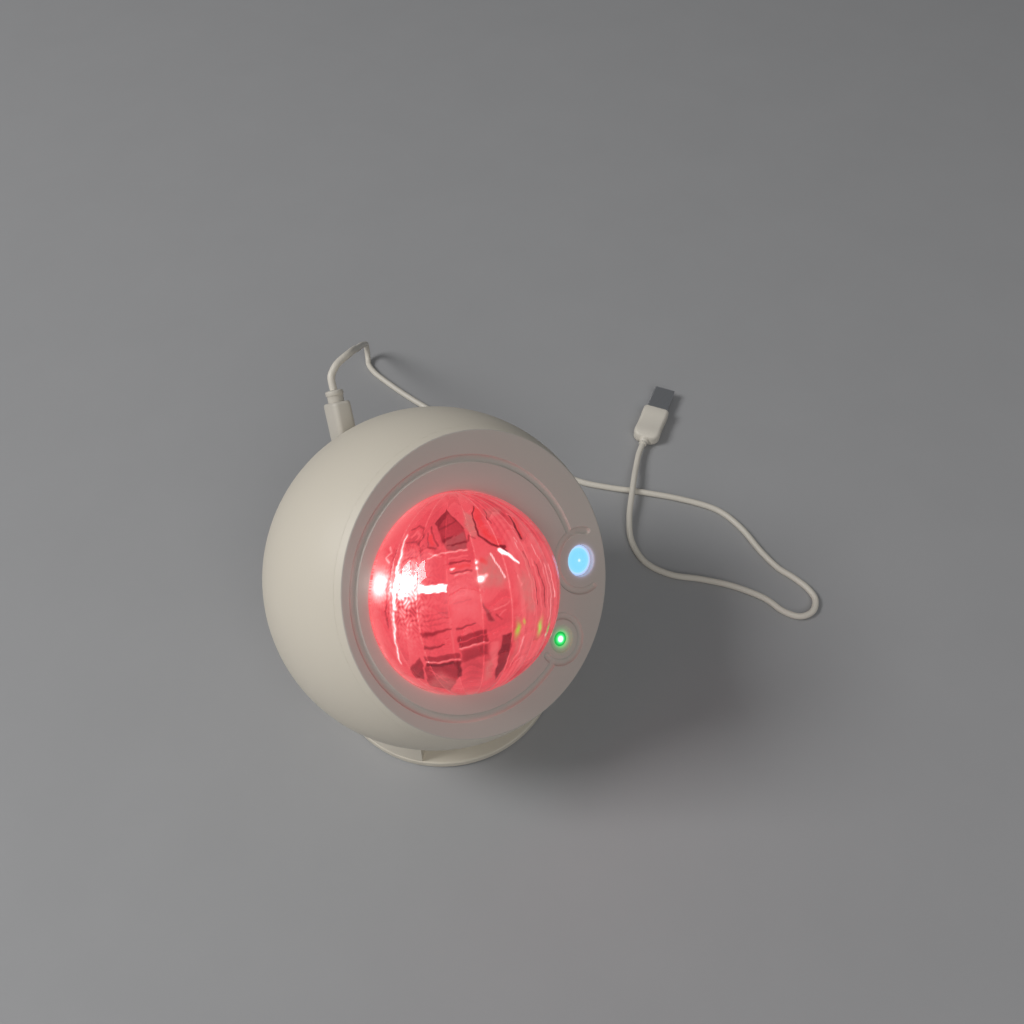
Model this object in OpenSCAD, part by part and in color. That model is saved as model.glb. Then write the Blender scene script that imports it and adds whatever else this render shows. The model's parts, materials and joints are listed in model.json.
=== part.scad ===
// Star projector lamp: a ball head with a flat, grooved face and a fluted dome lens,
// lying in a low round cradle, with a turning ripple wheel inside and a USB lead.
// Millimetres. +Z is up, the origin is on the table under the middle of the cradle,
// and the face looks towards -Y and upwards.

/* [Ball head] */
// Outer diameter of the ball
ball_d = 150; // [146:1:160]
// Wall of the ball's rear shell
shell_wall = 2.4; // [2:0.1:3]
// Diameter of the flat face
face_d = 126.9; // [124:0.1:130]
// Angle of the face's axis above the horizontal
face_el = 40; // [30:1:50]
// Thickness of the face plate
bezel_t = 3; // [2.5:0.1:4]
// Depth of the lip that centres the face plate in the shell
lip_h = 6; // [5:0.5:8]
// Wall of that lip
lip_wall = 1.8; // [1.2:0.1:2.5]

/* [Face grooves] */
// Width of the grooves in the face
groove_w = 3; // [2:0.1:4]
// Depth of the grooves
groove_depth = 1.1; // [0.6:0.1:1.4]
// Radius of the groove round the dome
orbit_r = 53; // [51:0.5:54]
// Radius of the groove round the nebula window
neb_arc_r = 13.3; // [12:0.1:14]
// Radius of the groove round the laser window
las_arc_r = 10.1; // [9.5:0.1:11]

/* [Dome lens] */
// Diameter of the dome where it leaves the face
dome_d = 82; // [78:0.5:84]
// Height of the dome above the face
dome_rise = 38; // [32:0.5:41]
// Wall of the dome
dome_wall = 2.6; // [2:0.1:3.5]
// Place of the dome on the face, to the right
lens_u = -10.5; // [-11:0.5:-9]
// Place of the dome on the face, upwards
lens_v = 4; // [3:0.5:5]
// Width of the flange behind the face
flange_w = 2.4; // [2:0.1:2.8]
// Thickness of that flange
flange_t = 2; // [1.5:0.1:3]
// Number of flutes across the dome
flute_count = 10; // [8:1:12]
// Depth of the flutes
flute_depth = 1; // [0.4:0.1:1.2]
// Direction of the flutes on the face, from the right
flute_dir = 62; // [40:1:80]

/* [Small windows] */
// Diameter of the nebula window
neb_d = 14; // [12:0.5:15]
// Place of the nebula window to the right
neb_u = 45.4; // [44:0.2:46]
// Place of the nebula window upwards
neb_v = -21.8; // [-23:0.2:-21]
// Diameter of the wide step of the laser window
las_step_d = 11.4; // [10:0.2:12.4]
// Diameter of the laser window itself
las_d = 6.4; // [5:0.2:8]
// Diameter of the laser module
las_module_d = 9; // [8:0.5:10]
// Place of the laser window to the right
las_u = 17.8; // [17:0.2:18.6]
// Place of the laser window upwards
las_v = -43.6; // [-44.4:0.2:-43]

/* [Light engine] */
// Thickness of the chassis plate
chassis_t = 3; // [2.5:0.5:4]
// Distance from the back of the face plate to the chassis
pillar_h = 20; // [19:0.5:22]
// Diameter of the three pillars under the face plate
pillar_d = 6.4; // [5.6:0.2:7]
// Gear module of the wheel drive
gear_m = 1.2; // [1.1:0.05:1.25]
// Teeth on the ripple wheel
wheel_teeth = 60; // [58:2:62]
// Teeth on the motor pinion
pinion_teeth = 12; // [12:1:14]
// Face width of the ripple wheel
wheel_t = 3; // [2.5:0.5:4]
// Diameter of the ripple wheel's axle
axle_d = 3; // [2.5:0.5:4]
// Diameter of the gear motor
motor_d = 22; // [18:1:24]
// Length of the gear motor
motor_len = 20; // [16:1:24]
// Diameter of the motor's shaft
shaft_d = 2; // [1.5:0.25:2.5]
// Diameter of the LED board and of its heat sink
led_board_d = 48; // [44:1:52]
// Height of the heat sink
sink_h = 12; // [10:1:16]

/* [Cradle] */
// Diameter of the cradle's plate
base_d = 110; // [106:1:116]
// Thickness of the cradle's plate
plate_t = 3.4; // [3:0.1:5]
// Thickness of the foot pad
foot_t = 1; // [0.8:0.1:2]
// Thickness of the steel weight in the plate
weight_t = 1.8; // [1.2:0.1:1.9]
// Gap between the ball and the plate
under_gap = 0.6; // [0.5:0.1:2]
// Height of the cheeks above the plate
cheek_h = 19.6; // [14:0.2:22]
// Half the angle that each cheek covers
cheek_half = 34; // [28:1:40]
// Thickness of the friction pads
pad_t = 1; // [0.8:0.1:1.2]

/* [Power lead] */
// Direction of the plug, from the face's right
plug_roll = 69; // [64:1:74]
// How far behind the ball's centre the plug lies
plug_back = 30; // [28:0.5:32]
// How far the plug lies to the side of the ball's axis
plug_side = 15.5; // [14.5:0.5:16.5]
// Long side of the plug's grip
plug_w = 13.2; // [12:0.2:13.6]
// Short side of the plug's grip
plug_h = 8.6; // [7.6:0.2:9]
// Length of the plug's grip
plug_len = 23; // [20:0.5:26]
// Depth of the plug's pocket at the ball's skin
pocket_depth = 7; // [6:0.5:8]
// Diameter of the cord
cord_d = 3.4; // [3:0.1:3.6]
// Diameter of the rear button
button_d = 10; // [8:0.5:11]
// Travel of the rear button
button_travel = 0.8; // [0.5:0.1:1]

/* [Hidden] */
$fn = 64;
ball_r = ball_d/2;
shell_in = ball_r - shell_wall;
fit = 0.05;              // seat clearance between fixed pieces
run = 0.05;              // radial clearance of turning pieces
seat_gap = 0.3;          // between the ball and the pads
slack = 0.3;             // between moving pieces and their neighbours
base_top = foot_t + plate_t;
ball_h = base_top + under_gap + ball_r;
face_off = sqrt(ball_r*ball_r - face_d*face_d/4);
bezel_back = face_off - bezel_t;
mouth_r = sqrt(shell_in*shell_in - bezel_back*bezel_back);
bead_r = 0.5;            // snap bead on the lip

// Dome and its clamp ring
dome_r = dome_d/2;
flange_r = dome_r + flange_w;
ring_t = 2.5;
ring_wall = 5;
lug_r = 3;
lug_off = flange_r + lug_r + 0.6;
lug_angles = [40, 110, 220, 290];
ring_z = bezel_back - flange_t - ring_t;

// Grooves: the angles where each one starts and ends; the long one runs into the two short ones
orbit_arc = [-11.5, 285.8];
neb_arc = [42, 267];
las_arc = [-174, 72];
groove_end = 0.04;       // the round ends are this much smaller than the grooves

// Screws
screw_r = 1.15;
screw_head_r = 2.3;
screw_head_h = 1.5;

// Chassis stack, measured along the face's axis
chassis_top = bezel_back - pillar_h;
chassis_bot = chassis_top - chassis_t;
chassis_r = mouth_r - lip_wall - 0.6;
pillar_r = pillar_d/2;
pillar_off = mouth_r - lip_wall - pillar_r - 0.4;
pillar_angles = [5, 130, 250];
led_board_t = 1.6;
led_top = chassis_top + led_board_t;
led_r = 2.6;
sink_screw_off = led_board_d/2 - 4;
led_ring_r = sink_screw_off - screw_head_r - led_r - 0.1;
boss_r = 4.5;
boss_h = 7;

// Ripple wheel and its drive
wheel_r = gear_m*wheel_teeth/2;
pinion_r = gear_m*pinion_teeth/2;
gear_add = 0.8*gear_m;
gear_ded = 1.1*gear_m;
backlash = 0.2;
hub_r = 4.2;
hub_h = 5.7;
hub_z = chassis_top + boss_h + slack;
wheel_z = hub_z + 1.2;
clip_z = hub_z + hub_h + slack;
clip_t = 0.8;
axle_top = clip_z + clip_t + 0.9;
motor_dir = -5;
motor_u = lens_u + (wheel_r + pinion_r)*cos(motor_dir);
motor_v = lens_v + (wheel_r + pinion_r)*sin(motor_dir);
motor_boss_r = 3;
motor_screw_off = 8;
shaft_top = wheel_z + wheel_t + 1;

// Small windows
neb_lens_r = neb_d/2 + 0.6;
neb_wall = 1.0;
neb_lens_t = 2.2;
neb_barrel_h = pillar_h;
las_bush_wall = 2.4;
las_bush_h = 12;
las_module_r = las_module_d/2;
las_grate_t = 1.4;
las_len = 20;
las_step_depth = 0.6;

// Plug, socket, board and button, in the plug's own directions
plug_entry = sqrt(ball_r*ball_r - plug_back*plug_back - plug_side*plug_side);
pocket_floor = plug_entry - pocket_depth;
pocket_wall = 1.6;
pocket_room = 1.2;       // between the plug's grip and the pocket
pocket_h = plug_h + 2*pocket_room;
pocket_w = plug_w + 2*pocket_room;
socket_w = 9;
socket_h = 3.2;
socket_len = 7.2;
tongue_t = 0.7;
metal_w = 8.3;
metal_h = 2.4;
metal_wall = 0.3;
metal_len = 6.4;
grip_start = pocket_floor + 0.2;
grip_end = grip_start + plug_len;
relief_r = 4;
relief_neck = 3.6;
relief_len = 5.4;
cord_r = cord_d/2;
board_t = 1.6;
board_face = plug_side + socket_h/2;
board_end = pocket_floor - pocket_wall - 0.4;
board_near = 4;          // inner edge of the board
board_tab = 30;          // where the tab to the chassis begins
board_tab_back = chassis_bot - sink_h - 6;
board_rear = -(shell_in - 16.6);
board_mid = -plug_back - 8;
rail_t = 1.4;
rail_h = 8;
button_r = button_d/2;
button_s = 10;           // place of the button along the plug's direction
button_q = board_face - 3.2;
button_off = sqrt(button_s*button_s + button_q*button_q);
button_boss = sqrt(shell_in*shell_in - pow(button_off, 2)) - 3.1;
button_flange = 1.2;
switch_side = 6;
switch_h = 4;
switch_nub = 1.4;
switch_z = board_rear - switch_h;

// Cradle
base_r = base_d/2;
seat_r = ball_r + seat_gap;
cheek_top = base_top + cheek_h;
cheek_draft = 1.2;
cheek_inset = 0.3;       // of the cheeks behind the plate's rim
rim_round = 0.8;
weight_r = base_r - 9;
foot_r = base_r - 2.5;
pad_half = cheek_half - 10;
pad_lift = 7;            // of the pads above the plate
pad_edge = 4;            // from the pads to the cheeks' tops
pad_low = base_top + pad_lift;
pad_high = cheek_top - pad_edge;

// Route of the lead: from the plug up, away behind the ball, down to the table and folded back
relief_end = [0, 0, ball_h] + face_dir([grip_end + relief_len, plug_side, -plug_back]);
plug_dir = face_dir([1, 0, 0]);
cord_z = cord_r + 0.05;
lead_points = [
    relief_end + 0.1*plug_dir,
    relief_end + 5*plug_dir,
    [21.4, 84.2, 133.6], [26.2, 85.6, 135], [35, 88.4, 133], [45, 98.6, 121.8], [55, 111.5, 107],
    [68.5, 128.5, 88], [82.5, 146.5, 68], [96.5, 164.8, 47.2], [110.5, 183, 26.2], [114.4, 188, 20.6],
    [116.5, 190.7, 17.4], [118.4, 193.1, 14.6], [119.6, 194.7, 11.7], [119.8, 195, 8.2],
    [119, 194, 4.9], [117.4, 191.9, 2.6], [115.3, 189.2, cord_z], [113.7, 184.6, cord_z],
    [112.8, 179, cord_z], [112.6, 170, cord_z], [112.8, 158, cord_z], [113.4, 147, cord_z],
    [114.6, 134, cord_z]
];
// Route along the table: past the ball to the right, round a loop and back to the far plug
run_points = [
    [114.6, 133.9, cord_z], [116.2, 120, cord_z], [118.6, 105, cord_z], [122, 88, cord_z],
    [126, 68, cord_z], [130, 48, cord_z], [135, 29, cord_z], [143, 14, cord_z],
    [154, -3, cord_z], [165, -22, cord_z], [172.5, -41, cord_z], [171.5, -58, cord_z],
    [166, -75, cord_z], [163.2, -88, cord_z], [163.6, -98, cord_z], [163, -107.3, cord_z],
    [159.8, -114.3, cord_z], [152.7, -117.3, cord_z], [145.5, -114.2, cord_z],
    [142.2, -106, cord_z], [142, -94, cord_z],
    [137, -78, cord_z], [129, -63, cord_z], [120, -49, cord_z], [117, -34, cord_z],
    [122.5, -20, 2.4], [133, -9.6, 4], [144.5, -1.6, 5.6], [157, 6.6, 5.4],
    [165, 11.5, 4.4], [172.5, 15.9, 4.05], [180, 19.2, 4]
];
usb_dir = atan2(1, 2.5);
usb_relief = 4;
usb_relief_r = 3;
usb_grip = [25, 15.5, 8];
usb_shell = [18, 12, 4.5];
usb_shell_wall = 0.4;
usb_start = run_points[len(run_points) - 1];

// A direction or offset given along the plug, across it and along the face's axis
function face_dir(p) = let(
    u = p[0]*cos(plug_roll) - p[1]*sin(plug_roll),
    v = p[0]*sin(plug_roll) + p[1]*cos(plug_roll),
    t = 90 - face_el
) [u, v*cos(t) - p[2]*sin(t), v*sin(t) + p[2]*cos(t)];

// One point of a smooth curve through four neighbours
function curve_at(a, b, c, d, t) = 0.5*(2*b + (c - a)*t + (2*a - 5*b + 4*c - d)*t*t
    + (3*b - a - 3*c + d)*t*t*t);
function smooth_path(p, steps) = [
    for (i = [0 : len(p) - 2], k = [0 : steps - 1])
        curve_at(p[max(i - 1, 0)], p[i], p[i + 1], p[min(i + 2, len(p) - 1)], k/steps),
    p[len(p) - 1]
];
function unit(v) = v/norm(v);

// One point of an involute flank
function involute(base, t) = [
    base*(cos(t) + t*PI/180*sin(t)),
    base*(sin(t) - t*PI/180*cos(t))
];
function turn(p, a) = [p[0]*cos(a) - p[1]*sin(a), p[0]*sin(a) + p[1]*cos(a)];

module head() { translate([0, 0, ball_h]) rotate([90 - face_el, 0, 0]) children(); }
module at_lens() { translate([lens_u, lens_v, 0]) children(); }
module at_motor() { translate([motor_u, motor_v, 0]) children(); }
module at_nebula() { translate([neb_u, neb_v, 0]) children(); }
module at_laser() { translate([las_u, las_v, 0]) children(); }
module at_plug() { head() rotate([0, 0, plug_roll]) children(); }
module pillars() { for (a = pillar_angles) rotate([0, 0, a]) translate([pillar_off, 0, 0]) children(); }
module lugs() { at_lens() for (a = lug_angles) rotate([0, 0, a]) translate([lug_off, 0, 0]) children(); }
module disc(r, z0, z1) { translate([0, 0, z0]) cylinder(r = r, h = z1 - z0); }
module tube(r, bore, z0, z1) {
    difference() {
        disc(r, z0, z1);
        disc(bore, z0 - 1, z1 + 1);
    }
}
module round_rect(w, h, r) {
    square([w - 2*r, h], center = true);
    square([w, h - 2*r], center = true);
    for (x = [-1, 1], y = [-1, 1]) translate([x*(w/2 - r), y*(h/2 - r)]) circle(r);
}
// A bar along the plug's direction, its long side along the face's axis
module plug_bar(s0, s1, h, w, r) {
    translate([s0, plug_side, -plug_back]) rotate([90, 0, 90])
        linear_extrude(s1 - s0) round_rect(h, w, r);
}
// A pan-head screw, its head on z = 0 and its shank downwards
module screw(length) {
    disc(screw_head_r, 0, screw_head_h);
    disc(screw_r, -length, 0);
}

// Gear outline with involute flanks
module gear_outline(teeth) {
    pitch = gear_m*teeth/2;
    base = pitch*cos(20);
    tip = pitch + gear_add;
    root = pitch - gear_ded;
    t_pitch = sqrt(pow(pitch/base, 2) - 1)*180/PI;
    t_tip = sqrt(pow(tip/base, 2) - 1)*180/PI;
    pitch_at = atan2(involute(base, t_pitch)[1], involute(base, t_pitch)[0]);
    half = 90/teeth - backlash/2/pitch*180/PI + pitch_at;
    flank = [for (k = [0 : 3]) turn(involute(base, t_tip*k/3), -half)];
    low = [root*cos(half), -root*sin(half)];
    tooth = concat([low], flank, [for (k = [3 : -1 : 0]) [flank[k][0], -flank[k][1]]], [[low[0], -low[1]]]);
    polygon([for (i = [0 : teeth - 1], p = tooth) turn(p, 360*i/teeth)]);
}

// A tube swept along points, with an end face square to each end
module swept_tube(points, r, sides) {
    n = len(points);
    tangent = [for (i = [0 : n - 1]) unit(points[min(i + 1, n - 1)] - points[max(i - 1, 0)])];
    rings = [for (i = [0 : n - 1], k = [0 : sides - 1]) let(
        side = unit(cross(tangent[i], [0, 0, 1])),
        up = cross(side, tangent[i]),
        a = 360*k/sides
    ) points[i] + r*(cos(a)*side + sin(a)*up)];
    faces = concat(
        [[for (k = [0 : sides - 1]) k]],
        [for (i = [0 : n - 2], k = [0 : sides - 1], half = [0, 1]) let(
            a = i*sides + k, b = i*sides + (k + 1) % sides
        ) half == 0 ? [a, a + sides, b + sides] : [a, b + sides, b]],
        [[for (k = [sides - 1 : -1 : 0]) (n - 1)*sides + k]]
    );
    polyhedron(rings, faces);
}

// Cradle
module cheek() {
    rotate([0, 0, -cheek_half]) rotate_extrude(angle = 2*cheek_half)
        polygon([
            [base_r/2, base_top - 1], [base_r - cheek_inset, base_top - 1],
            [base_r - cheek_inset - cheek_draft, cheek_top], [base_r/2, cheek_top]
        ]);
}
module pad_block(half, low, high) {
    rotate([0, 0, -half]) rotate_extrude(angle = 2*half)
        translate([base_r/3, low]) square([base_r/2, high - low]);
}
module pad_ball(r) { translate([0, 0, ball_h]) sphere(r); }
module both_sides() { for (a = [0, 180]) rotate([0, 0, a]) children(); }
module base_cradle() {
    color("#ded9cb") difference() {
        union() {
            rotate_extrude() translate([0, foot_t]) {
                square([base_r - rim_round, plate_t]);
                square([base_r, plate_t - rim_round]);
                translate([base_r - rim_round, plate_t - rim_round]) circle(rim_round);
            }
            both_sides() cheek();
        }
        pad_ball(seat_r + slack);
        both_sides() intersection() {
            pad_ball(seat_r + pad_t + fit);
            pad_block(pad_half + 0.1, pad_low - fit, pad_high + fit);
        }
        disc(weight_r + fit, foot_t - 1, foot_t + weight_t + fit);
    }
}
module base_weight() { color("#8d9096") disc(weight_r, foot_t, foot_t + weight_t); }
module foot_pad() { color("#3a3a3c") disc(foot_r, 0, foot_t); }
module cradle_pads() {
    color("#c9c5b8") both_sides() difference() {
        intersection() {
            pad_ball(seat_r + pad_t);
            pad_block(pad_half, pad_low, pad_high);
        }
        pad_ball(seat_r);
    }
}

// Ball
module pocket(s0, grow) {
    plug_bar(s0, ball_r + 5, pocket_h + 2*grow, pocket_w + 2*grow, 2 + grow);
}
module at_button() { rotate([0, 0, plug_roll]) translate([button_s, button_q, 0]) children(); }
module rear_shell() {
    color("#e6e1d3") head() difference() {
        union() {
            difference() {
                sphere(ball_r);
                intersection() {
                    sphere(shell_in);
                    disc(ball_r, -ball_r, bezel_back - lip_h);
                }
                disc(mouth_r, bezel_back - lip_h - 0.01, ball_r);
            }
            intersection() {
                sphere(ball_r - 0.5);
                union() {
                    rotate([0, 0, plug_roll]) pocket(pocket_floor - pocket_wall, pocket_wall);
                    at_button() disc(button_r + 3, -ball_r, -button_boss);
                }
            }
        }
        disc(ball_r, bezel_back, ball_r);
        rotate([0, 0, plug_roll]) pocket(pocket_floor, 0);
        rotate([0, 0, plug_roll])
            plug_bar(pocket_floor - pocket_wall - 1, pocket_floor + 1, socket_h + 2*fit, socket_w + 2*fit, 1.5);
        at_button() disc(button_r + run, -ball_r - 1, -button_boss + 1);
        rotate_extrude() translate([mouth_r, bezel_back - lip_h/2]) circle(bead_r + 0.1);
    }
}

// A groove along an arc of the face, with round ends
module groove_arc(r, arc) {
    floor_z = face_off - groove_depth;
    rotate([0, 0, arc[0]]) rotate_extrude(angle = arc[1] - arc[0])
        translate([r - groove_w/2, floor_z]) square([groove_w, groove_depth + 1]);
    for (a = arc) rotate([0, 0, a]) translate([r, 0, 0])
        disc(groove_w/2 - groove_end, floor_z, face_off + 1);
}
module front_bezel() {
    color("#dcd6cb") head() difference() {
        union() {
            intersection() {
                sphere(ball_r);
                disc(ball_r, bezel_back, face_off);
            }
            tube(mouth_r - fit, mouth_r - lip_wall, bezel_back - lip_h + 0.4, bezel_back + 0.5);
            rotate_extrude() translate([mouth_r - fit, bezel_back - lip_h/2]) circle(bead_r);
            pillars() disc(pillar_r, chassis_top, bezel_back + 0.5);
            lugs() disc(lug_r, bezel_back - flange_t, bezel_back + 0.5);
        }
        at_lens() disc(dome_r + fit, bezel_back - 1, face_off + 1);
        at_nebula() disc(neb_d/2, bezel_back - 1, face_off + 1);
        at_laser() {
            disc(las_d/2, bezel_back - 1, face_off + 1);
            disc(las_step_d/2, face_off - las_step_depth, face_off + 1);
        }
        pillars() disc(screw_r + fit, chassis_top - 1, chassis_top + 9);
        lugs() disc(screw_r + fit, bezel_back - flange_t - 1, bezel_back + 0.8);
        translate([lens_u/2, lens_v/2, 0]) groove_arc(orbit_r, orbit_arc);
        at_nebula() groove_arc(neb_arc_r, neb_arc);
        at_laser() groove_arc(las_arc_r, las_arc);
    }
}

// Dome, from the outer rim over the flutes, and back inside
flute_steps = 6;          // facets across each flute
arc_steps = 20;           // facets along each flute
inner_steps = 24;         // facets across the smooth inside
function dome_point(phi, psi, r, rise, depth) = let(
    crease = abs(sin(phi*flute_count)),
    rr = r - depth*(1 - crease)*sin(psi)*sin(phi),
    along = rr*cos(psi),
    across = rr*sin(psi)*cos(phi)
) [
    along*cos(flute_dir) + across*sin(flute_dir),
    along*sin(flute_dir) - across*cos(flute_dir),
    face_off + rr*rise/r*sin(psi)*sin(phi)
];
function dome_skin(steps, r, rise, depth) = [
    for (i = [0 : steps], j = [0 : arc_steps])
        dome_point(180*i/steps, 180*j/arc_steps, r, rise, depth)
];
// A closed half dome with a straight skirt down to the height given
module half_dome(steps, r, rise, depth, foot) {
    skin = dome_skin(steps, r, rise, depth);
    m = arc_steps + 1;
    quads = [for (i = [0 : steps - 1], j = [0 : arc_steps - 1], half = [0, 1]) let(a = i*m + j)
        half == 0 ? [a, a + m + 1, a + m] : [a, a + 1, a + m + 1]];
    kept = [for (q = quads) let(p = [for (k = q) skin[k]])
        if (norm(p[0] - p[1]) > 0.001 && norm(p[1] - p[2]) > 0.001 && norm(p[2] - p[0]) > 0.001) q];
    rim = concat([for (j = [arc_steps : -1 : 0]) j], [for (j = [1 : arc_steps - 1]) steps*m + j]);
    count = len(rim);
    feet = [for (k = rim) [skin[k][0], skin[k][1], foot]];
    skirt = [for (k = [0 : count - 1]) let(n = (k + 1) % count)
        [rim[k], rim[n], len(skin) + n, len(skin) + k]];
    polyhedron(concat(skin, feet), concat(kept, skirt, [[for (k = [0 : count - 1]) len(skin) + k]]));
}
module dome_lens() {
    color("#f0a3a8", 0.6) head() at_lens() difference() {
        union() {
            half_dome(flute_count*flute_steps, dome_r, dome_rise, flute_depth, bezel_back - flange_t/2);
            disc(flange_r, bezel_back - flange_t, bezel_back);
        }
        half_dome(inner_steps, dome_r - dome_wall, dome_rise - dome_wall, 0, bezel_back - flange_t - 1);
    }
}
module lens_ring() {
    color("#3b3b40") head() difference() {
        union() {
            at_lens() disc(flange_r, ring_z, ring_z + ring_t);
            lugs() disc(lug_r, ring_z, ring_z + ring_t);
            at_lens() for (a = lug_angles) rotate([0, 0, a])
                translate([flange_r - 2, -lug_r, ring_z]) cube([lug_off - flange_r + 2, 2*lug_r, ring_t]);
        }
        at_lens() disc(flange_r - ring_wall, ring_z - 1, ring_z + ring_t + 1);
        lugs() disc(screw_r + fit, ring_z - 1, ring_z + ring_t + 1);
    }
}
module lens_screws() {
    color("#a9abb0") head() lugs() translate([0, 0, ring_z]) rotate([180, 0, 0]) screw(ring_t + flange_t);
}

// Small windows
module nebula_lens() {
    color("#8fd3ff", 0.7) head() at_nebula() union() {
        disc(neb_lens_r, bezel_back - neb_lens_t, bezel_back);
        intersection() {
            disc(neb_d/2 - 0.8, bezel_back, face_off);
            translate([0, 0, bezel_back + 1.2 - 16]) sphere(16);
        }
    }
}
module nebula_barrel() {
    color("#34343a") head() at_nebula() difference() {
        disc(neb_lens_r + neb_wall, bezel_back - neb_barrel_h, bezel_back);
        disc(neb_lens_r + fit, bezel_back - neb_lens_t, bezel_back + 1);
        disc(neb_lens_r - 1.2, bezel_back - neb_barrel_h - 1, bezel_back);
    }
}
module nebula_led() {
    color("#4aa8e8") head() at_nebula() {
        disc(neb_lens_r - 1.2 - fit, chassis_top, chassis_top + led_board_t);
        disc(2, chassis_top + led_board_t, chassis_top + led_board_t + 1.2);
        translate([0, 0, chassis_top + led_board_t + 1.2]) intersection() {
            sphere(1.8);
            disc(2, 0, 2);
        }
    }
}
module laser_bush() {
    color("#34343a") head() at_laser()
        tube(las_module_r + las_bush_wall, las_module_r + fit, bezel_back - las_bush_h, bezel_back);
}
module laser_grating() {
    color("#7ff0b0", 0.7) head() at_laser() union() {
        disc(las_module_r, bezel_back - las_grate_t, bezel_back);
        disc(las_d/2 - 0.1, bezel_back - 0.5, face_off - las_step_depth - 0.2);
    }
}
module laser_module() {
    color("#b98a3e") head() at_laser() difference() {
        disc(las_module_r, bezel_back - las_grate_t - las_len, bezel_back - las_grate_t);
        disc(las_d/2 - 0.8, bezel_back - las_grate_t - 3, bezel_back);
    }
}

// Light engine
module chassis() {
    color("#4a4a50") head() difference() {
        union() {
            disc(chassis_r, chassis_bot, chassis_top);
            at_lens() disc(boss_r, chassis_top - 1, chassis_top + boss_h);
            rotate([0, 0, plug_roll]) for (q = [board_face - rail_t - fit, board_face + board_t + fit])
                translate([board_tab + 3, q, chassis_bot - rail_h])
                    cube([board_end - board_tab - 6, rail_t, rail_h + 0.5]);
        }
        at_lens() disc(axle_d/2 + 0.01, chassis_bot - 1, chassis_top + boss_h + 1);
        pillars() disc(screw_r + fit, chassis_bot - 1, chassis_top + 1);
        at_motor() {
            disc(motor_boss_r + fit, chassis_bot - 1, chassis_top + 1);
            for (s = [-1, 1]) translate([0, s*motor_screw_off, 0])
                disc(screw_r + fit, chassis_bot - 1, chassis_top + 1);
        }
        at_laser() disc(las_module_r + 0.4, chassis_bot - 1, chassis_top + 1);
        sink_screws() disc(screw_r + fit, chassis_bot - 1, chassis_top + 1);
    }
}
module chassis_screws() {
    color("#a9abb0") head() pillars() translate([0, 0, chassis_bot]) rotate([180, 0, 0]) screw(chassis_t + 8);
}
module sink_screws() {
    at_lens() for (s = [-1, 1]) translate([0, s*sink_screw_off, 0]) children();
}
module led_board() {
    color("#e9e9ea") head() difference() {
        at_lens() tube(led_board_d/2, boss_r + 0.3, chassis_top, led_top);
        sink_screws() disc(screw_r + fit, chassis_top - 1, led_top + 1);
    }
}
module led_emitters() {
    color("#ff5a5f") head() at_lens() for (a = [30, 150, 270]) rotate([0, 0, a])
        translate([led_ring_r, 0, led_top]) {
            disc(led_r, 0, 0.8);
            translate([0, 0, 0.8]) intersection() {
                sphere(led_r - 0.2);
                disc(led_r, 0, led_r);
            }
        }
}
module heat_sink() {
    fins = 7;
    fin_t = 1.6;
    color("#b4b7bb") head() difference() {
        at_lens() union() {
            disc(led_board_d/2, chassis_bot - 3, chassis_bot);
            intersection() {
                disc(led_board_d/2, chassis_bot - sink_h, chassis_bot - 2);
                for (i = [0 : fins - 1]) let(y = (i - (fins - 1)/2)*(led_board_d - 6)/fins)
                    translate([-led_board_d/2, y - fin_t/2, chassis_bot - sink_h])
                        cube([led_board_d, fin_t, sink_h - 2]);
            }
        }
        sink_screws() disc(screw_r + fit, chassis_bot - 3 - sink_h, chassis_bot + 1);
    }
}
module board_screws() {
    color("#a9abb0") head() sink_screws() translate([0, 0, led_top]) screw(led_board_t + chassis_t + 2.6);
}
module wheel_axle() {
    color("#c4c6ca") head() at_lens() difference() {
        disc(axle_d/2, chassis_bot, axle_top);
        tube(axle_d, axle_d/2 - 0.35, clip_z, clip_z + clip_t);
    }
}
module axle_clip() {
    color("#6d6f75") head() at_lens() difference() {
        tube(axle_d/2 + 1.7, axle_d/2 - 0.35 + fit, clip_z + 0.05, clip_z + clip_t - 0.05);
        translate([0, -axle_d/2 + 0.5, clip_z - 1]) cube([axle_d*2, axle_d - 1, clip_t + 2]);
    }
}
module ripple_wheel() {
    color("#f4c9cc", 0.7) head() at_lens() difference() {
        union() {
            translate([0, 0, wheel_z]) linear_extrude(wheel_t) gear_outline(wheel_teeth);
            disc(hub_r, hub_z, hub_z + hub_h);
        }
        disc(axle_d/2 + run, hub_z - 1, hub_z + hub_h + 1);
        difference() {
            union() {
                disc(wheel_r - 4, wheel_z + wheel_t - 0.8, wheel_z + wheel_t + 1);
                disc(wheel_r - 4, wheel_z - 1, wheel_z + 0.4);
            }
            disc(hub_r, hub_z - 1, hub_z + hub_h + 1);
        }
    }
}
module motor() {
    color("#c9ccd0") head() at_motor() difference() {
        union() {
            disc(motor_d/2, chassis_bot - motor_len, chassis_bot);
            disc(motor_boss_r, chassis_bot - 1, chassis_top);
        }
        disc(shaft_d/2 + run, chassis_bot - 10, chassis_top + 1);
        for (s = [-1, 1]) translate([0, s*motor_screw_off, 0])
            disc(screw_r + fit, chassis_bot - 5, chassis_bot + 1);
    }
}
module motor_screws() {
    color("#a9abb0") head() at_motor() for (s = [-1, 1])
        translate([0, s*motor_screw_off, chassis_top]) screw(chassis_t + 4);
}
module motor_shaft() {
    color("#c4c6ca") head() at_motor() disc(shaft_d/2, chassis_bot - 9, shaft_top);
}
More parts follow.
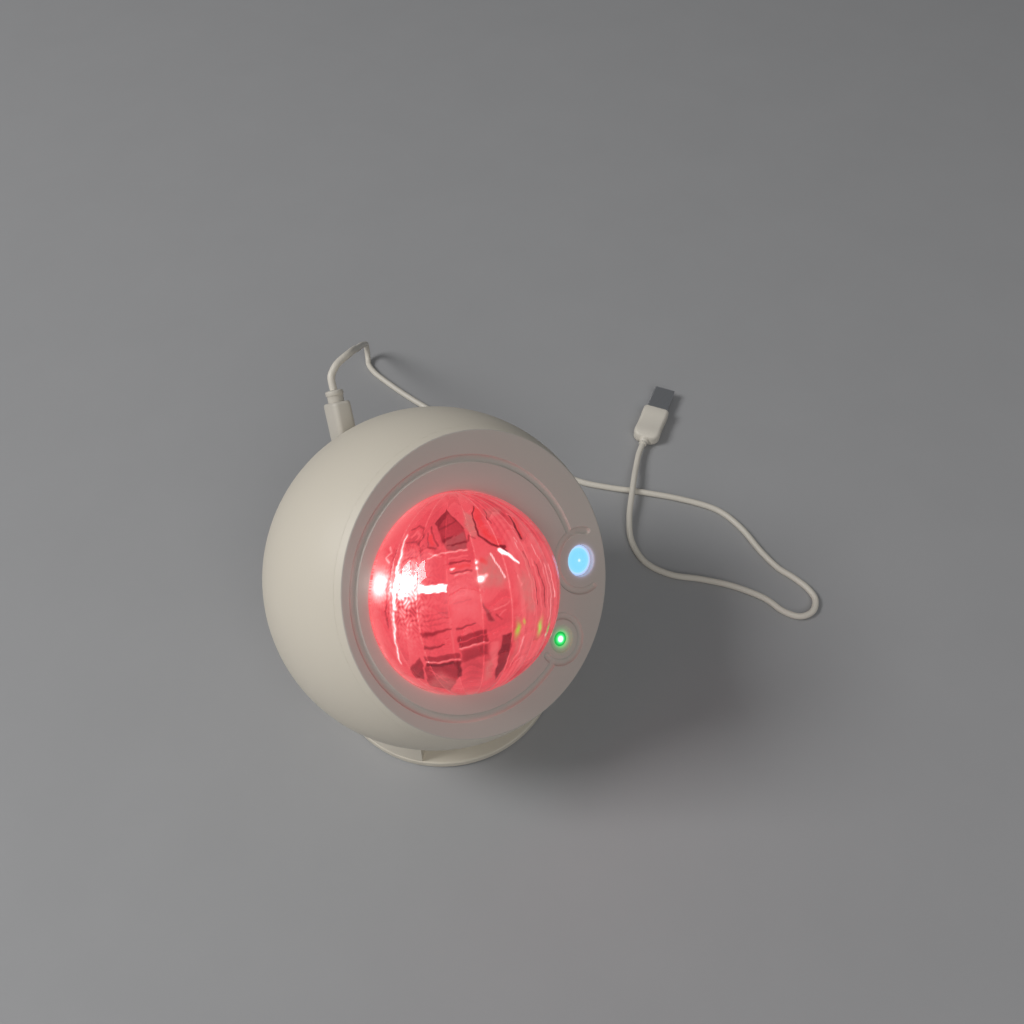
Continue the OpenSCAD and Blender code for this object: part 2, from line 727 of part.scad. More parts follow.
module motor_pinion() {
    color("#e8e4d6") head() at_motor() difference() {
        union() {
            translate([0, 0, wheel_z - 0.5]) linear_extrude(wheel_t + 1)
                rotate([0, 0, 180 + motor_dir + 180/pinion_teeth + motor_dir*wheel_teeth/pinion_teeth])
                    gear_outline(pinion_teeth);
            disc(pinion_r - gear_ded, wheel_z - 3, wheel_z);
        }
        disc(shaft_d/2, wheel_z - 4, shaft_top + 1);
    }
}

// Board, socket, switch and button
module main_board() {
    color("#2f6b4a") at_plug() translate([0, board_face + board_t, 0]) rotate([90, 0, 0])
        linear_extrude(board_t) polygon([
            [board_near, board_rear], [board_tab, board_rear], [board_end, board_mid],
            [board_end, chassis_bot], [board_tab, chassis_bot],
            [board_tab, board_tab_back], [board_near, board_tab_back]
        ]);
}
module usb_socket() {
    color("#b9bcc2") at_plug() difference() {
        plug_bar(pocket_floor - socket_len, pocket_floor, socket_h, socket_w, 1.4);
        difference() {
            plug_bar(pocket_floor - metal_len - 0.3, pocket_floor + 1, metal_h + 2*fit, metal_w + 2*fit, 1.1);
            translate([pocket_floor - socket_len + 0.2, plug_side - tongue_t/2, -plug_back - 3.3])
                cube([metal_len - 1.2, tongue_t, 6.6]);
        }
    }
}
module tact_switch() {
    color("#2b2b2e") head() at_button() {
        translate([-switch_side/2, -switch_side/2 + 0.2, switch_z])
            cube([switch_side, switch_side, switch_h + 2]);
        disc(1.7, switch_z - switch_nub, switch_z + 1);
    }
}
module power_button() {
    color("#d9d3c6") head() at_button() union() {
        intersection() {
            disc(button_r, -ball_r - 5, -button_boss);
            translate([-button_s, -button_q, 0]) sphere(ball_r + 0.4);
        }
        disc(button_r + 1.6, -button_boss + 0.05, -button_boss + button_flange);
        disc(2, -button_boss, switch_z - switch_nub - button_travel - 0.1);
    }
}

// Plug in the ball
module plug_grip() {
    color("#e9e5da") at_plug() plug_bar(grip_start, grip_end, plug_h, plug_w, 2);
}
module plug_metal() {
    color("#c9ccd0") at_plug() difference() {
        plug_bar(grip_start - metal_len, grip_start, metal_h, metal_w, 1.1);
        plug_bar(grip_start - metal_len - 1, grip_start - 0.4, metal_h - 2*metal_wall,
            metal_w - 2*metal_wall, 0.8);
    }
}
module plug_relief() {
    color("#e9e5da") at_plug() translate([grip_end, plug_side, -plug_back]) rotate([0, 90, 0]) {
        disc(relief_neck, 0, relief_len);
        disc(relief_r, relief_len - 2, relief_len - 0.4);
    }
}
module cord_lead() { color("#e9e5da") swept_tube(smooth_path(lead_points, 2), cord_r, 8); }

// Lead on the table and its far plug
module at_usb() { translate(usb_start) rotate([0, 0, usb_dir]) rotate([90, 0, 90]) children(); }
module cord_run() { color("#e9e5da") swept_tube(smooth_path(run_points, 2), cord_r, 8); }
module usb_a_relief() {
    color("#e9e5da") at_usb() translate([0, 0, 0.05])
        cylinder(r1 = usb_relief_r - 0.6, r2 = usb_relief_r, h = usb_relief);
}
module usb_a_grip() {
    color("#e9e5da") at_usb() translate([0, 0, usb_relief + 0.05])
        linear_extrude(usb_grip[0]) round_rect(usb_grip[1], usb_grip[2], 2);
}
module usb_a_shell() {
    color("#c9ccd0") at_usb() translate([0, 0, usb_relief + 0.05 + usb_grip[0]]) difference() {
        linear_extrude(usb_shell[0]) round_rect(usb_shell[1], usb_shell[2], 0.5);
        translate([0, 0, 0.5]) linear_extrude(usb_shell[0])
            round_rect(usb_shell[1] - 2*usb_shell_wall, usb_shell[2] - 2*usb_shell_wall, 0.3);
    }
}
module usb_a_tongue() {
    color("#f2f2f0") at_usb()
        translate([-usb_shell[1]/2 + usb_shell_wall + fit, 0.1, usb_relief + 0.55 + usb_grip[0]])
            cube([usb_shell[1] - 2*usb_shell_wall - 2*fit, 1.6, usb_shell[0] - 1.5]);
}

base_cradle();
base_weight();
foot_pad();
cradle_pads();
rear_shell();
front_bezel();
dome_lens();
lens_ring();
lens_screws();
nebula_lens();
nebula_barrel();
nebula_led();
laser_module();
laser_bush();
laser_grating();
chassis();
chassis_screws();
led_board();
led_emitters();
heat_sink();
board_screws();
wheel_axle();
axle_clip();
ripple_wheel();
motor();
motor_screws();
motor_shaft();
motor_pinion();
main_board();
usb_socket();
tact_switch();
power_button();
plug_grip();
plug_metal();
plug_relief();
cord_lead();
cord_run();
usb_a_relief();
usb_a_grip();
usb_a_shell();
usb_a_tongue();
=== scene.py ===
"""Looks of a ball-shaped star projector lamp: face plate, fluted dome, lit windows, lead and studio.

Sizes are in millimetres. The head has its own axes: u to the right on the face, v up the face and
w out of it, from the ball's centre. The plug's axes are s along the plug, q across it, and w again.
"""
import json
import math

import bmesh
import bpy
import numpy as np
from mathutils import Matrix, Vector
from mathutils.geometry import delaunay_2d_cdt


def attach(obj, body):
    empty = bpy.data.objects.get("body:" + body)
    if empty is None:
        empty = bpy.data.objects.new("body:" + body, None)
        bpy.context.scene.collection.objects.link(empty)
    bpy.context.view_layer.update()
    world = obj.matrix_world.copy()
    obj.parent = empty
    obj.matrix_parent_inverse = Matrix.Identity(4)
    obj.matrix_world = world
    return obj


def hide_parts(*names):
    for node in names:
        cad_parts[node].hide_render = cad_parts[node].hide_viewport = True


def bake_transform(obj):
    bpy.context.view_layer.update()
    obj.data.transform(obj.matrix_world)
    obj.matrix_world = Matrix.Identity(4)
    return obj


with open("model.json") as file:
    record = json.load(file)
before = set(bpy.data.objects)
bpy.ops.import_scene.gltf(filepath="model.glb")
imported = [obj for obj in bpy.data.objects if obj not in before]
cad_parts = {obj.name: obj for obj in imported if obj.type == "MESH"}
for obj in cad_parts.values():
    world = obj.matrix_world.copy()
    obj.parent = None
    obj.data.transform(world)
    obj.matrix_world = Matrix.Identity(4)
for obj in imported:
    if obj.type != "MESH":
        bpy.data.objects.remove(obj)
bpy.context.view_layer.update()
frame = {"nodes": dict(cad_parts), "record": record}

MM = 0.001
TURN = 2*math.pi

# Ball and face; a count is the points round a circle, a band the strip of mesh beside an edge
BALL_R = 75.0
BALL_H = 80.0
FACE_R = 126.9/2
FACE_OFF = math.sqrt(BALL_R**2 - FACE_R**2)
FACE_LEAN = math.radians(50)
PLATE_T = 3.0
PLATE_BACK = FACE_OFF - PLATE_T
PLATE_INNER_R = 62.3
SEAT_GAP = 0.02
RIM_ROUND = 0.8
RIM_COUNT = 288
RIM_BAND = 0.4
LENS_COUNT = 240
NEBULA_COUNT = 96
LASER_COUNT = 80
HOLE_BAND = 0.35
HOLE_SLACK = 0.9995
SEAM = 0.08
EDGE_ROUND = 0.45
# Loose points that fill the flat of the face: their span and step, and their margins to rim and holes
FILLER_SPAN = 60
FILLER_STEP = 5.0
RIM_MARGIN = 3
HOLE_MARGIN = 2

# Places on the face
LENS_AT = np.array([-10.5, 4.0])
NEBULA_AT = np.array([45.4, -21.8])
LASER_AT = np.array([17.8, -43.6])

# Grooves in the face: middle, radius, first and last angle; rails are the lines of points along them
GROOVE_HALF = 1.65
GROOVE_DEPTH = 1.1
GROOVES = [
    (LENS_AT/2, 53.0, -11.5, 285.8),
    (NEBULA_AT, 13.3, 42.0, 267.0),
    (LASER_AT, 10.1, -174.0, 72.0),
]
RAIL_STEPS = (1.1, 0.7, 0.6)
RAIL_SHARES = (0.25, 0.5, 0.68, 0.8, 0.9, 0.97, 1.0, 1.1)

# Dome; its counts are the points across the flutes and along them
DOME_R = 41.0
DOME_RISE = 38.0
DOME_WALL = 2.6
DOME_GAP = 0.1
FLUTES = 10
FLUTE_DEPTH = 1.0
FLUTE_POWER = 0.8
FLUTE_TURN = math.radians(62)
DOME_COUNTS = (FLUTES*16 + 1, 121)

# Lit core in the dome: a painted glow, with painted highlights and reflections, that stands in for the lamp's
# light seen through the dome; its ring is given by inner radius, outer radius and height
CORE_R = 39.4
CORE_COUNTS = (FLUTES*28 + 1, 301)
CORE_CREASE = 0.5
CORE_POWER = 0.5
CORE_FOOT = 35.3
LEDGES = 7
LEDGE_DEPTH = 0.5
GLOW_RING = (37.2, 41.0, 36.8)
GLOW_RING_COUNT = 160

# Windows; edge, foot and step are heights over the ball's centre
NEBULA_R = 7.0
NEBULA_GAP = 0.15
NEBULA_CROWN = 1.2
NEBULA_EDGE = PLATE_BACK + 0.3
NEBULA_FOOT = PLATE_BACK - 2.2
LASER_STEP_R = 5.7
LASER_STEP_ROUND = 0.25
LASER_STEP_W = FACE_OFF - 0.6
LASER_R = 3.2
LASER_LEAD = 0.5
LASER_GAP = 0.1
LASER_CROWN = 0.4
LASER_EDGE = LASER_STEP_W - 0.55
LASER_FOOT = PLATE_BACK - 1.4
CROWN_START = 0.15

# Light spilled on the face: middle, edge, reach, colour
SPILLS = [
    (LENS_AT, DOME_R, 0.5, (0.30, 0.03, 0.042, 1)),
    (LENS_AT, DOME_R, 7.0, (0.020, 0.002, 0.003, 1)),
    (NEBULA_AT, NEBULA_R - 0.5, 0.6, (0.34, 0.36, 0.62, 1)),
    (LASER_AT, LASER_R - 0.2, 1.0, (0.02, 0.60, 0.12, 1)),
]

# Plug in the ball
PLUG_ROLL = math.radians(69)
PLUG_BACK = 30.0
PLUG_SIDE = 15.5
PLUG_W = 13.2
PLUG_H = 8.6
PLUG_LEN = 23.0
PLUG_ROUND = 2.2
POCKET_DEPTH = 7.0
POCKET_GAP = 0.2
PLUG_START = math.sqrt(BALL_R**2 - PLUG_BACK**2 - PLUG_SIDE**2) - POCKET_DEPTH + POCKET_GAP
PLUG_END = PLUG_START + PLUG_LEN
RELIEF_R = 4.0
RELIEF_NECK = 3.6
RELIEF_LEN = 5.4
ROUND_SIDES = 40
# Grip: way along it, inset
PLUG_SECTIONS = [
    (0.0, 1.4), (0.35, 0.7), (1.0, 0.2), (2.0, 0.0), (21.4, 0.0), (22.1, 0.12), (22.6, 0.45), (22.9, 1.0),
    (PLUG_LEN, 1.8),
]
# Strain relief: way along it, radius
RELIEF_PROFILE = [
    (0.0, RELIEF_NECK), (2.6, RELIEF_NECK), (2.9, 3.7), (3.1, 3.9), (3.3, RELIEF_R), (4.6, RELIEF_R),
    (5.0, 3.88), (5.25, 3.6), (RELIEF_LEN, 3.1), (RELIEF_LEN, 1.72),
]

# Lead: cord and far plug
CORD_D = 3.4
CORD_Z = 1.75
CORD_SIDES = 16
CORD_STEPS = 10
USB_TURN = math.atan2(1, 2.5)
USB_NECK = 4.05
USB_LEN = 25.0
USB_W = 15.5
USB_H = 8.0
USB_ROUND = 2.1
# Far plug's neck: way along it, radius
USB_NECK_PROFILE = [
    (0.05, 1.72), (0.3, 2.2), (1.1, 2.35), (1.4, 2.15), (2.0, 2.2), (2.3, 2.6), (3.0, 2.7), (3.3, 2.5),
    (3.7, 2.6), (USB_NECK, 2.9),
]
# Far plug's grip: way along it, inset of its width and of its height
USB_SECTIONS = [
    (0.0, 6.6, 2.0), (0.5, 4.6, 1.4), (1.6, 2.2, 0.8), (3.0, 0.7, 0.2), (4.2, 0.1, 0.0), (6.0, 0.0, 0.0),
    (8.0, 0.1, 0.3), (10.0, 0.3, 0.7), (16.0, 0.3, 0.7), (18.0, 0.1, 0.3), (20.0, 0.0, 0.0),
    (23.6, 0.0, 0.0), (24.4, 0.3, 0.3), (24.8, 0.8, 0.7), (USB_LEN, 1.6, 1.3),
]
# Contacts on its tongue: places across, places along, width, thickness, rounding and height
CONTACT_SIDES = (-3.5, -1.0, 1.0, 3.5)
CONTACT_RUN = (3.0, 14.5, 15.2)
CONTACT_W = 1.1
CONTACT_T = 0.16
CONTACT_ROUND = 0.07
CONTACT_UP = 0.02

# Camera: place, turn, tip and roll in degrees, lens and sensor in millimetres, nearest distance in metres
CAMERA_AT = (-154.9, -194.5, 449.0)
CAMERA_TURN = 46.27
CAMERA_DOWN = 52.60
CAMERA_ROLL = -0.29
CAMERA_LENS = 35.16
CAMERA_SENSOR = 36
CAMERA_NEAR = 0.01

# Studio lights, in metres: name, place, size, watts, seen as a highlight
LAMPS = [
    ("key_light", (-1.40, 1.16, 1.86), 0.9, 34.0, True),
    ("fill_light", (-1.1, -1.9, 2.2), 1.8, 23.0, False),
]
LAMP_AIM = (0, 0, 0.07)
FLOOR_HALF = 3000
SURROUND = (0.95, 0.97, 1.0, 1)
SURROUND_STRENGTH = 0.12

# Pale flecks in the plastics: size in the cells of their pattern, share, tone
FLECK_SIZE = 0.06
FLECK_SHARE = 0.10
FLECK_TONE = (0.45, 0.42, 0.37, 1)

# Points of a mesh that are closer than this become one
MERGE = 0.004
# Depth of the fine bump on plastics and metals, in metres
FINE_BUMP = 0.00004


def head_place(uvw):
    """Head axes to the room: x = u, y = v cos t - w sin t, z = height + v sin t + w cos t."""
    u, v, w = np.moveaxis(np.asarray(uvw, float), -1, 0)
    c, s = math.cos(FACE_LEAN), math.sin(FACE_LEAN)
    return np.stack([u, v*c - w*s, BALL_H + v*s + w*c], -1)


def plug_place(sqw):
    """Plug axes to the room: u = s cos r - q sin r, v = s sin r + q cos r, then as the head."""
    s, q, w = np.moveaxis(np.asarray(sqw, float), -1, 0)
    c, n = math.cos(PLUG_ROLL), math.sin(PLUG_ROLL)
    return head_place(np.stack([s*c - q*n, s*n + q*c, w], -1))


PLUG_DIR = plug_place([1, 0, 0]) - plug_place([0, 0, 0])
RELIEF_END = plug_place([PLUG_END + RELIEF_LEN, PLUG_SIDE, -PLUG_BACK])

# The lead's route: away behind the ball, down to the table, folded back, out to the right, to the far plug
LEAD_POINTS = [
    RELIEF_END + 0.1*PLUG_DIR, RELIEF_END + 5*PLUG_DIR,
    (21.4, 84.2, 133.6), (26.2, 85.6, 135), (35, 88.4, 133), (45, 98.6, 121.8), (55, 111.5, 107),
    (68.5, 128.5, 88), (82.5, 146.5, 68), (96.5, 164.8, 47.2), (110.5, 183, 26.2), (114.4, 188, 20.6),
    (116.5, 190.7, 17.4), (118.4, 193.1, 14.6), (119.6, 194.7, 11.7), (119.8, 195, 8.2), (119, 194, 4.9),
    (117.4, 191.9, 2.6), (115.3, 189.2, CORD_Z), (113.7, 184.6, CORD_Z), (112.8, 179, CORD_Z),
    (112.6, 170, CORD_Z), (112.8, 158, CORD_Z), (113.4, 147, CORD_Z), (114.6, 134, CORD_Z),
    (116.2, 120, CORD_Z), (118.6, 105, CORD_Z), (122, 88, CORD_Z), (126, 68, CORD_Z), (130, 48, CORD_Z),
    (135, 29, CORD_Z), (143, 14, CORD_Z),
    (154, -3, CORD_Z), (165, -22, CORD_Z), (172.5, -41, CORD_Z), (171.5, -58, CORD_Z),
    (166, -75, CORD_Z), (163.2, -88, CORD_Z), (163.6, -98, CORD_Z), (163, -107.3, CORD_Z),
    (159.8, -114.3, CORD_Z), (152.7, -117.3, CORD_Z), (145.5, -114.2, CORD_Z), (142.2, -106, CORD_Z),
    (142, -94, CORD_Z), (137, -78, CORD_Z), (129, -63, CORD_Z), (120, -49, CORD_Z), (117, -34, CORD_Z),
    (122.5, -20, 2.4), (133, -9.6, 4), (144.5, -1.6, 5.6), (157, 6.6, 5.4), (165, 11.5, 4.4),
    (172.5, 15.9, 4.05), (180, 19.2, 4),
]


def make_camera():
    """Camera at the photograph's place: turned about Z, tipped down, then rolled."""
    data = bpy.data.cameras.new("camera")
    data.lens = CAMERA_LENS
    data.sensor_width = CAMERA_SENSOR
    data.clip_start = CAMERA_NEAR
    camera = bpy.data.objects.new("camera", data)
    bpy.context.scene.collection.objects.link(camera)
    turn = Matrix.Rotation(-math.radians(CAMERA_TURN), 4, "Z")
    tip = Matrix.Rotation(math.radians(90 - CAMERA_DOWN), 4, "X")
    roll = Matrix.Rotation(math.radians(CAMERA_ROLL), 4, "Z")
    camera.matrix_world = Matrix.Translation(Vector(CAMERA_AT)*MM) @ turn @ tip @ roll
    bpy.context.scene.camera = camera


def circle(middle, radius, count):
    """Points middle + radius (cos a, sin a), once round."""
    a = np.arange(count)*TURN/count
    return np.asarray(middle) + radius*np.stack([np.cos(a), np.sin(a)], -1)


def strip_faces(rows, columns, wrap):
    """Quads between neighbouring rows of a grid whose points are numbered row by row."""
    i = np.arange(rows - 1)[:, None]*columns
    j = np.arange(columns if wrap else columns - 1)[None, :]
    k = (j + 1) % columns
    return np.stack(np.broadcast_arrays(i + j, i + k, i + columns + k, i + columns + j), -1).reshape(-1, 4)


class Build:
    """Points and faces of one piece, gathered sheet by sheet."""

    def __init__(self):
        self.points = []
        self.faces = []
        self.count = 0

    def sheet(self, points, faces, caps=()):
        """Adds points, the faces between them as one array, and caps of any number of corners."""
        points = np.asarray(points, float).reshape(-1, 3)
        self.points.append(points)
        for group in (faces, *caps):
            self.faces += np.atleast_2d(group + self.count).tolist()
        self.count += len(points)

    def grid(self, rows, wrap=True, cap_first=False, cap_last=False):
        """A grid of rows, joined round each row if wrap, with flat caps over the end rows."""
        rows = np.asarray(rows, float)
        n, m = rows.shape[:2]
        caps = []
        if cap_first:
            caps.append(np.arange(m))
        if cap_last:
            caps.append(np.arange((n - 1)*m, n*m))
        self.sheet(rows, strip_faces(n, m, wrap), caps)

    def piece(self, name, material, body, replaces=(), sharp=40):
        """The sheets as one mesh: doubles merged, faces outwards, edges over sharp degrees kept."""
        mesh = bpy.data.meshes.new(name)
        mesh.from_pydata((np.concatenate(self.points)*MM).tolist(), [], self.faces)
        work = bmesh.new()
        work.from_mesh(mesh)
        bmesh.ops.remove_doubles(work, verts=work.verts, dist=MERGE*MM)
        bmesh.ops.dissolve_degenerate(work, edges=work.edges, dist=1e-8)
        bmesh.ops.recalc_face_normals(work, faces=work.faces)
        work.to_mesh(mesh)
        work.free()
        mesh.shade_smooth()
        mesh.set_sharp_from_angle(angle=math.radians(sharp))
        mesh.materials.append(material)
        thing = bpy.data.objects.new(name, mesh)
        bpy.context.scene.collection.objects.link(thing)
        if body:
            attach(thing, body)
        if replaces:
            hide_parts(*replaces)
        return thing


# Node tools
def add(tree, kind, values=None, **settings):
    """A node with its settings and the values of its inputs."""
    made = tree.nodes.new(kind)
    for key, value in settings.items():
        setattr(made, key, value)
    for key, value in (values or {}).items():
        made.inputs[key].default_value = value
    return made


def math_node(tree, operation, first, second=None):
    """A Math node; each operand is a socket or a number."""
    made = add(tree, "ShaderNodeMath", operation=operation)
    for slot, operand in enumerate((first, second)):
        if isinstance(operand, bpy.types.NodeSocket):
            tree.links.new(operand, made.inputs[slot])
        elif operand is not None:
            made.inputs[slot].default_value = operand
    return made.outputs[0]


def mix_colour(tree, factor, first, second, blend="MIX"):
    """A colour Mix; factor and colours are sockets or values."""
    made = add(tree, "ShaderNodeMix", data_type="RGBA", blend_type=blend)
    for slot, operand in ((0, factor), (6, first), (7, second)):
        if isinstance(operand, bpy.types.NodeSocket):
            tree.links.new(operand, made.inputs[slot])
        else:
            made.inputs[slot].default_value = operand
    return made.outputs[2]


def new_group(name, inputs, outputs):
    """A shader node group with named sockets: (name, kind) or (name, kind, value)."""
    group = bpy.data.node_groups.new(name, "ShaderNodeTree")
    for socket in inputs:
        made = group.interface.new_socket(name=socket[0], in_out="INPUT", socket_type=socket[1])
        if len(socket) > 2:
            made.default_value = socket[2]
    for socket in outputs:
        group.interface.new_socket(name=socket[0], in_out="OUTPUT", socket_type=socket[1])
    return group, group.nodes.new("NodeGroupInput"), group.nodes.new("NodeGroupOutput")


def skin_group():
    """Moulded skin: clouds between two tones, a fine grain for the bump and a roughness that varies."""
    group, given, out = new_group(
        "moulded_skin",
        [("Place", "NodeSocketVector"), ("Tone", "NodeSocketColor"), ("Second Tone", "NodeSocketColor"),
         ("Cloud Scale", "NodeSocketFloat", 18.0), ("Grain Scale", "NodeSocketFloat", 2600.0),
         ("Rough", "NodeSocketFloat", 0.5), ("Rough Spread", "NodeSocketFloat", 0.1)],
        [("Color", "NodeSocketColor"), ("Roughness", "NodeSocketFloat"), ("Height", "NodeSocketFloat")])
    cloud = add(group, "ShaderNodeTexNoise", {"Detail": 4.0, "Roughness": 0.6})
    grain = add(group, "ShaderNodeTexNoise", {"Detail": 2.0, "Roughness": 0.55})
    speck = add(group, "ShaderNodeTexVoronoi", {"Scale": 420.0})
    for texture, scale in ((cloud, "Cloud Scale"), (grain, "Grain Scale")):
        group.links.new(given.outputs["Place"], texture.inputs["Vector"])
        group.links.new(given.outputs[scale], texture.inputs["Scale"])
    group.links.new(given.outputs["Place"], speck.inputs["Vector"])
    colour = mix_colour(group, cloud.outputs["Fac"], given.outputs["Tone"], given.outputs["Second Tone"])
    fleck = math_node(group, "LESS_THAN", speck.outputs["Distance"], FLECK_SIZE)
    dusty = mix_colour(group, math_node(group, "MULTIPLY", fleck, FLECK_SHARE), colour, FLECK_TONE)
    group.links.new(dusty, out.inputs["Color"])
    swing = math_node(group, "MULTIPLY", math_node(group, "SUBTRACT", cloud.outputs["Fac"], 0.5),
                      given.outputs["Rough Spread"])
    rough = math_node(group, "ADD", given.outputs["Rough"], swing)
    group.links.new(rough, out.inputs["Roughness"])
    group.links.new(grain.outputs["Fac"], out.inputs["Height"])
    return group


def halo_group():
    """Light spilled round a lit window: exp(-(distance - edge)/reach), one at the edge and fading out."""
    group, given, out = new_group(
        "window_halo",
        [("Place", "NodeSocketVector"), ("Middle", "NodeSocketVector"), ("Edge", "NodeSocketFloat"),
         ("Reach", "NodeSocketFloat", 0.004), ("Color", "NodeSocketColor")],
        [("Color", "NodeSocketColor")])
    gap = add(group, "ShaderNodeVectorMath", operation="DISTANCE")
    group.links.new(given.outputs["Place"], gap.inputs[0])
    group.links.new(given.outputs["Middle"], gap.inputs[1])
    past = math_node(group, "MAXIMUM", math_node(group, "SUBTRACT", gap.outputs["Value"],
                                                 given.outputs["Edge"]), 0.0)
    fade = math_node(group, "EXPONENT", math_node(
        group, "MULTIPLY", math_node(group, "DIVIDE", past, given.outputs["Reach"]), -1.0))
    group.links.new(mix_colour(group, fade, (0, 0, 0, 1), given.outputs["Color"]), out.inputs["Color"])
    return group


def brushed_group():
    """Drawn metal: noise stretched along X for fine lines in tone, roughness and height."""
    group, given, out = new_group(
        "drawn_metal",
        [("Place", "NodeSocketVector"), ("Tone", "NodeSocketColor"), ("Second Tone", "NodeSocketColor"),
         ("Rough", "NodeSocketFloat", 0.3)],
        [("Color", "NodeSocketColor"), ("Roughness", "NodeSocketFloat"), ("Height", "NodeSocketFloat")])
    stretch = add(group, "ShaderNodeMapping", {"Scale": (40.0, 900.0, 900.0)})
    lines = add(group, "ShaderNodeTexNoise", {"Scale": 1.0, "Detail": 3.0})
    group.links.new(given.outputs["Place"], stretch.inputs["Vector"])
    group.links.new(stretch.outputs["Vector"], lines.inputs["Vector"])
    colour = mix_colour(group, lines.outputs["Fac"], given.outputs["Tone"], given.outputs["Second Tone"])
    group.links.new(colour, out.inputs["Color"])
    rough = math_node(group, "ADD", given.outputs["Rough"],
                      math_node(group, "MULTIPLY", lines.outputs["Fac"], 0.15))
    group.links.new(rough, out.inputs["Roughness"])
    group.links.new(lines.outputs["Fac"], out.inputs["Height"])
    return group


def uneven_group():
    """Uneven glossy skin: soft noise for the bump, and a roughness that goes up with it."""
    group, given, out = new_group(
        "uneven_gloss",
        [("Place", "NodeSocketVector"), ("Scale", "NodeSocketFloat", 160.0),
         ("Detail", "NodeSocketFloat", 3.0), ("Rough", "NodeSocketFloat", 0.2),
         ("Rough Spread", "NodeSocketFloat", 0.2)],
        [("Roughness", "NodeSocketFloat"), ("Height", "NodeSocketFloat")])
    wave = add(group, "ShaderNodeTexNoise")
    for source, socket in (("Place", "Vector"), ("Scale", "Scale"), ("Detail", "Detail")):
        group.links.new(given.outputs[source], wave.inputs[socket])
    swing = math_node(group, "MULTIPLY", wave.outputs["Fac"], given.outputs["Rough Spread"])
    group.links.new(math_node(group, "ADD", swing, given.outputs["Rough"]), out.inputs["Roughness"])
    group.links.new(wave.outputs["Fac"], out.inputs["Height"])
    return group


SKIN = skin_group()
HALO = halo_group()
BRUSHED = brushed_group()
UNEVEN = uneven_group()


def new_material(name, constants=None):
    """A node material, its tree, its shader and its Object coordinates; constants go on the shader."""
    made = bpy.data.materials.new(name)
    made.use_nodes = True
    tree = made.node_tree
    shader = tree.nodes["Principled BSDF"]
    for key, value in (constants or {}).items():
        shader.inputs[key].default_value = value
    place = add(tree, "ShaderNodeTexCoord").outputs["Object"]
    return made, tree, shader, place


def dress(tree, shader, place, group, values, bump, distance=FINE_BUMP):
    """Puts a surface group into a material: its roughness, its height and, if it has one, its colour."""
    coat = add(tree, "ShaderNodeGroup", values, node_tree=group)
    tree.links.new(place, coat.inputs["Place"])
    tree.links.new(coat.outputs["Roughness"], shader.inputs["Roughness"])
    if "Color" in coat.outputs:
        tree.links.new(coat.outputs["Color"], shader.inputs["Base Color"])
    relief = add(tree, "ShaderNodeBump", {"Strength": bump, "Distance": distance})
    tree.links.new(coat.outputs["Height"], relief.inputs["Height"])
    tree.links.new(relief.outputs["Normal"], shader.inputs["Normal"])


def plastic(name, tone, second, rough=0.5, grain=2600.0, bump=0.35):
    """Moulded plastic or rubber with the skin group."""
    made, tree, shader, place = new_material(name)
    dress(tree, shader, place, SKIN, {"Tone": (*tone, 1), "Second Tone": (*second, 1), "Rough": rough,
                                      "Grain Scale": grain}, bump)
    return made


def metal(name, tone, second, rough=0.28):
    """Drawn or turned metal with the brushed group."""
    made, tree, shader, place = new_material(name, {"Metallic": 1.0})
    dress(tree, shader, place, BRUSHED, {"Tone": (*tone, 1), "Second Tone": (*second, 1),
                                         "Rough": rough}, 0.15)
    return made


def shaded_face_plastic():
    """The face's cream plastic in a darker tone than the shell's, as painted shade, with pink, blue and green
    light spilled round the dome and windows.
    """
    made, tree, shader, place = new_material("face_cream_shaded", {"Emission Strength": 1.0,
                                                            "Specular IOR Level": 0.4})
    # Same cream as the shell, darkened to paint the shade the face sits in
    dress(tree, shader, place, SKIN, {"Tone": (0.64, 0.588, 0.53, 1),
                                      "Second Tone": (0.593, 0.546, 0.491, 1), "Rough": 0.5}, 0.35)
    lit = None
    for middle, edge, reach, colour in SPILLS:
        halo = add(tree, "ShaderNodeGroup", {"Middle": head_place([*middle, FACE_OFF])*MM, "Edge": edge*MM,
                                             "Reach": reach*MM, "Color": colour}, node_tree=HALO)
        tree.links.new(place, halo.inputs["Place"])
        glow = halo.outputs["Color"]
        lit = glow if lit is None else mix_colour(tree, 1.0, lit, glow, "ADD")
    tree.links.new(lit, shader.inputs["Emission Color"])
    return made


def lit_material(name, strength, unlit):
    """A lit surface: its glow is the piece's own colour attribute, over an unlit tone."""
    made, tree, shader, place = new_material(name, {"Emission Strength": strength, "Base Color": (*unlit, 1)})
    own = add(tree, "ShaderNodeAttribute", attribute_name="glow")
    tree.links.new(own.outputs["Color"], shader.inputs["Emission Color"])
    dress(tree, shader, place, UNEVEN, {}, 0.5, 0.0006)
    return made


def dome_plastic():
    """Clear pink moulding of the dome, with a slight painted red glow that stands in for the lamp's light
    inside it.
    """
    made, tree, shader, place = new_material("dome_clear", {
        "Transmission Weight": 1.0, "IOR": 1.42, "Base Color": (1.0, 0.90, 0.91, 1),
        "Emission Color": (1.0, 0.12, 0.16, 1), "Emission Strength": 0.02})
    dress(tree, shader, place, UNEVEN, {"Scale": 55.0, "Detail": 2.0, "Rough": 0.02, "Rough Spread": 0.03},
          0.25, 0.0015)
    return made


def paint(thing, colours):
    """Stores colours, one for each point, as the attribute glow."""
    layer = thing.data.attributes.new("glow", "FLOAT_COLOR", "POINT")
    full = np.concatenate([colours, np.ones((len(colours), 1))], 1)
    layer.data.foreach_set("color", full.astype(np.float32).ravel())


def mesh_points(thing):
    """The mesh's points in millimetres, as one array."""
    flat = np.empty(len(thing.data.vertices)*3)
    thing.data.vertices.foreach_get("co", flat)
    return flat.reshape(-1, 3)/MM


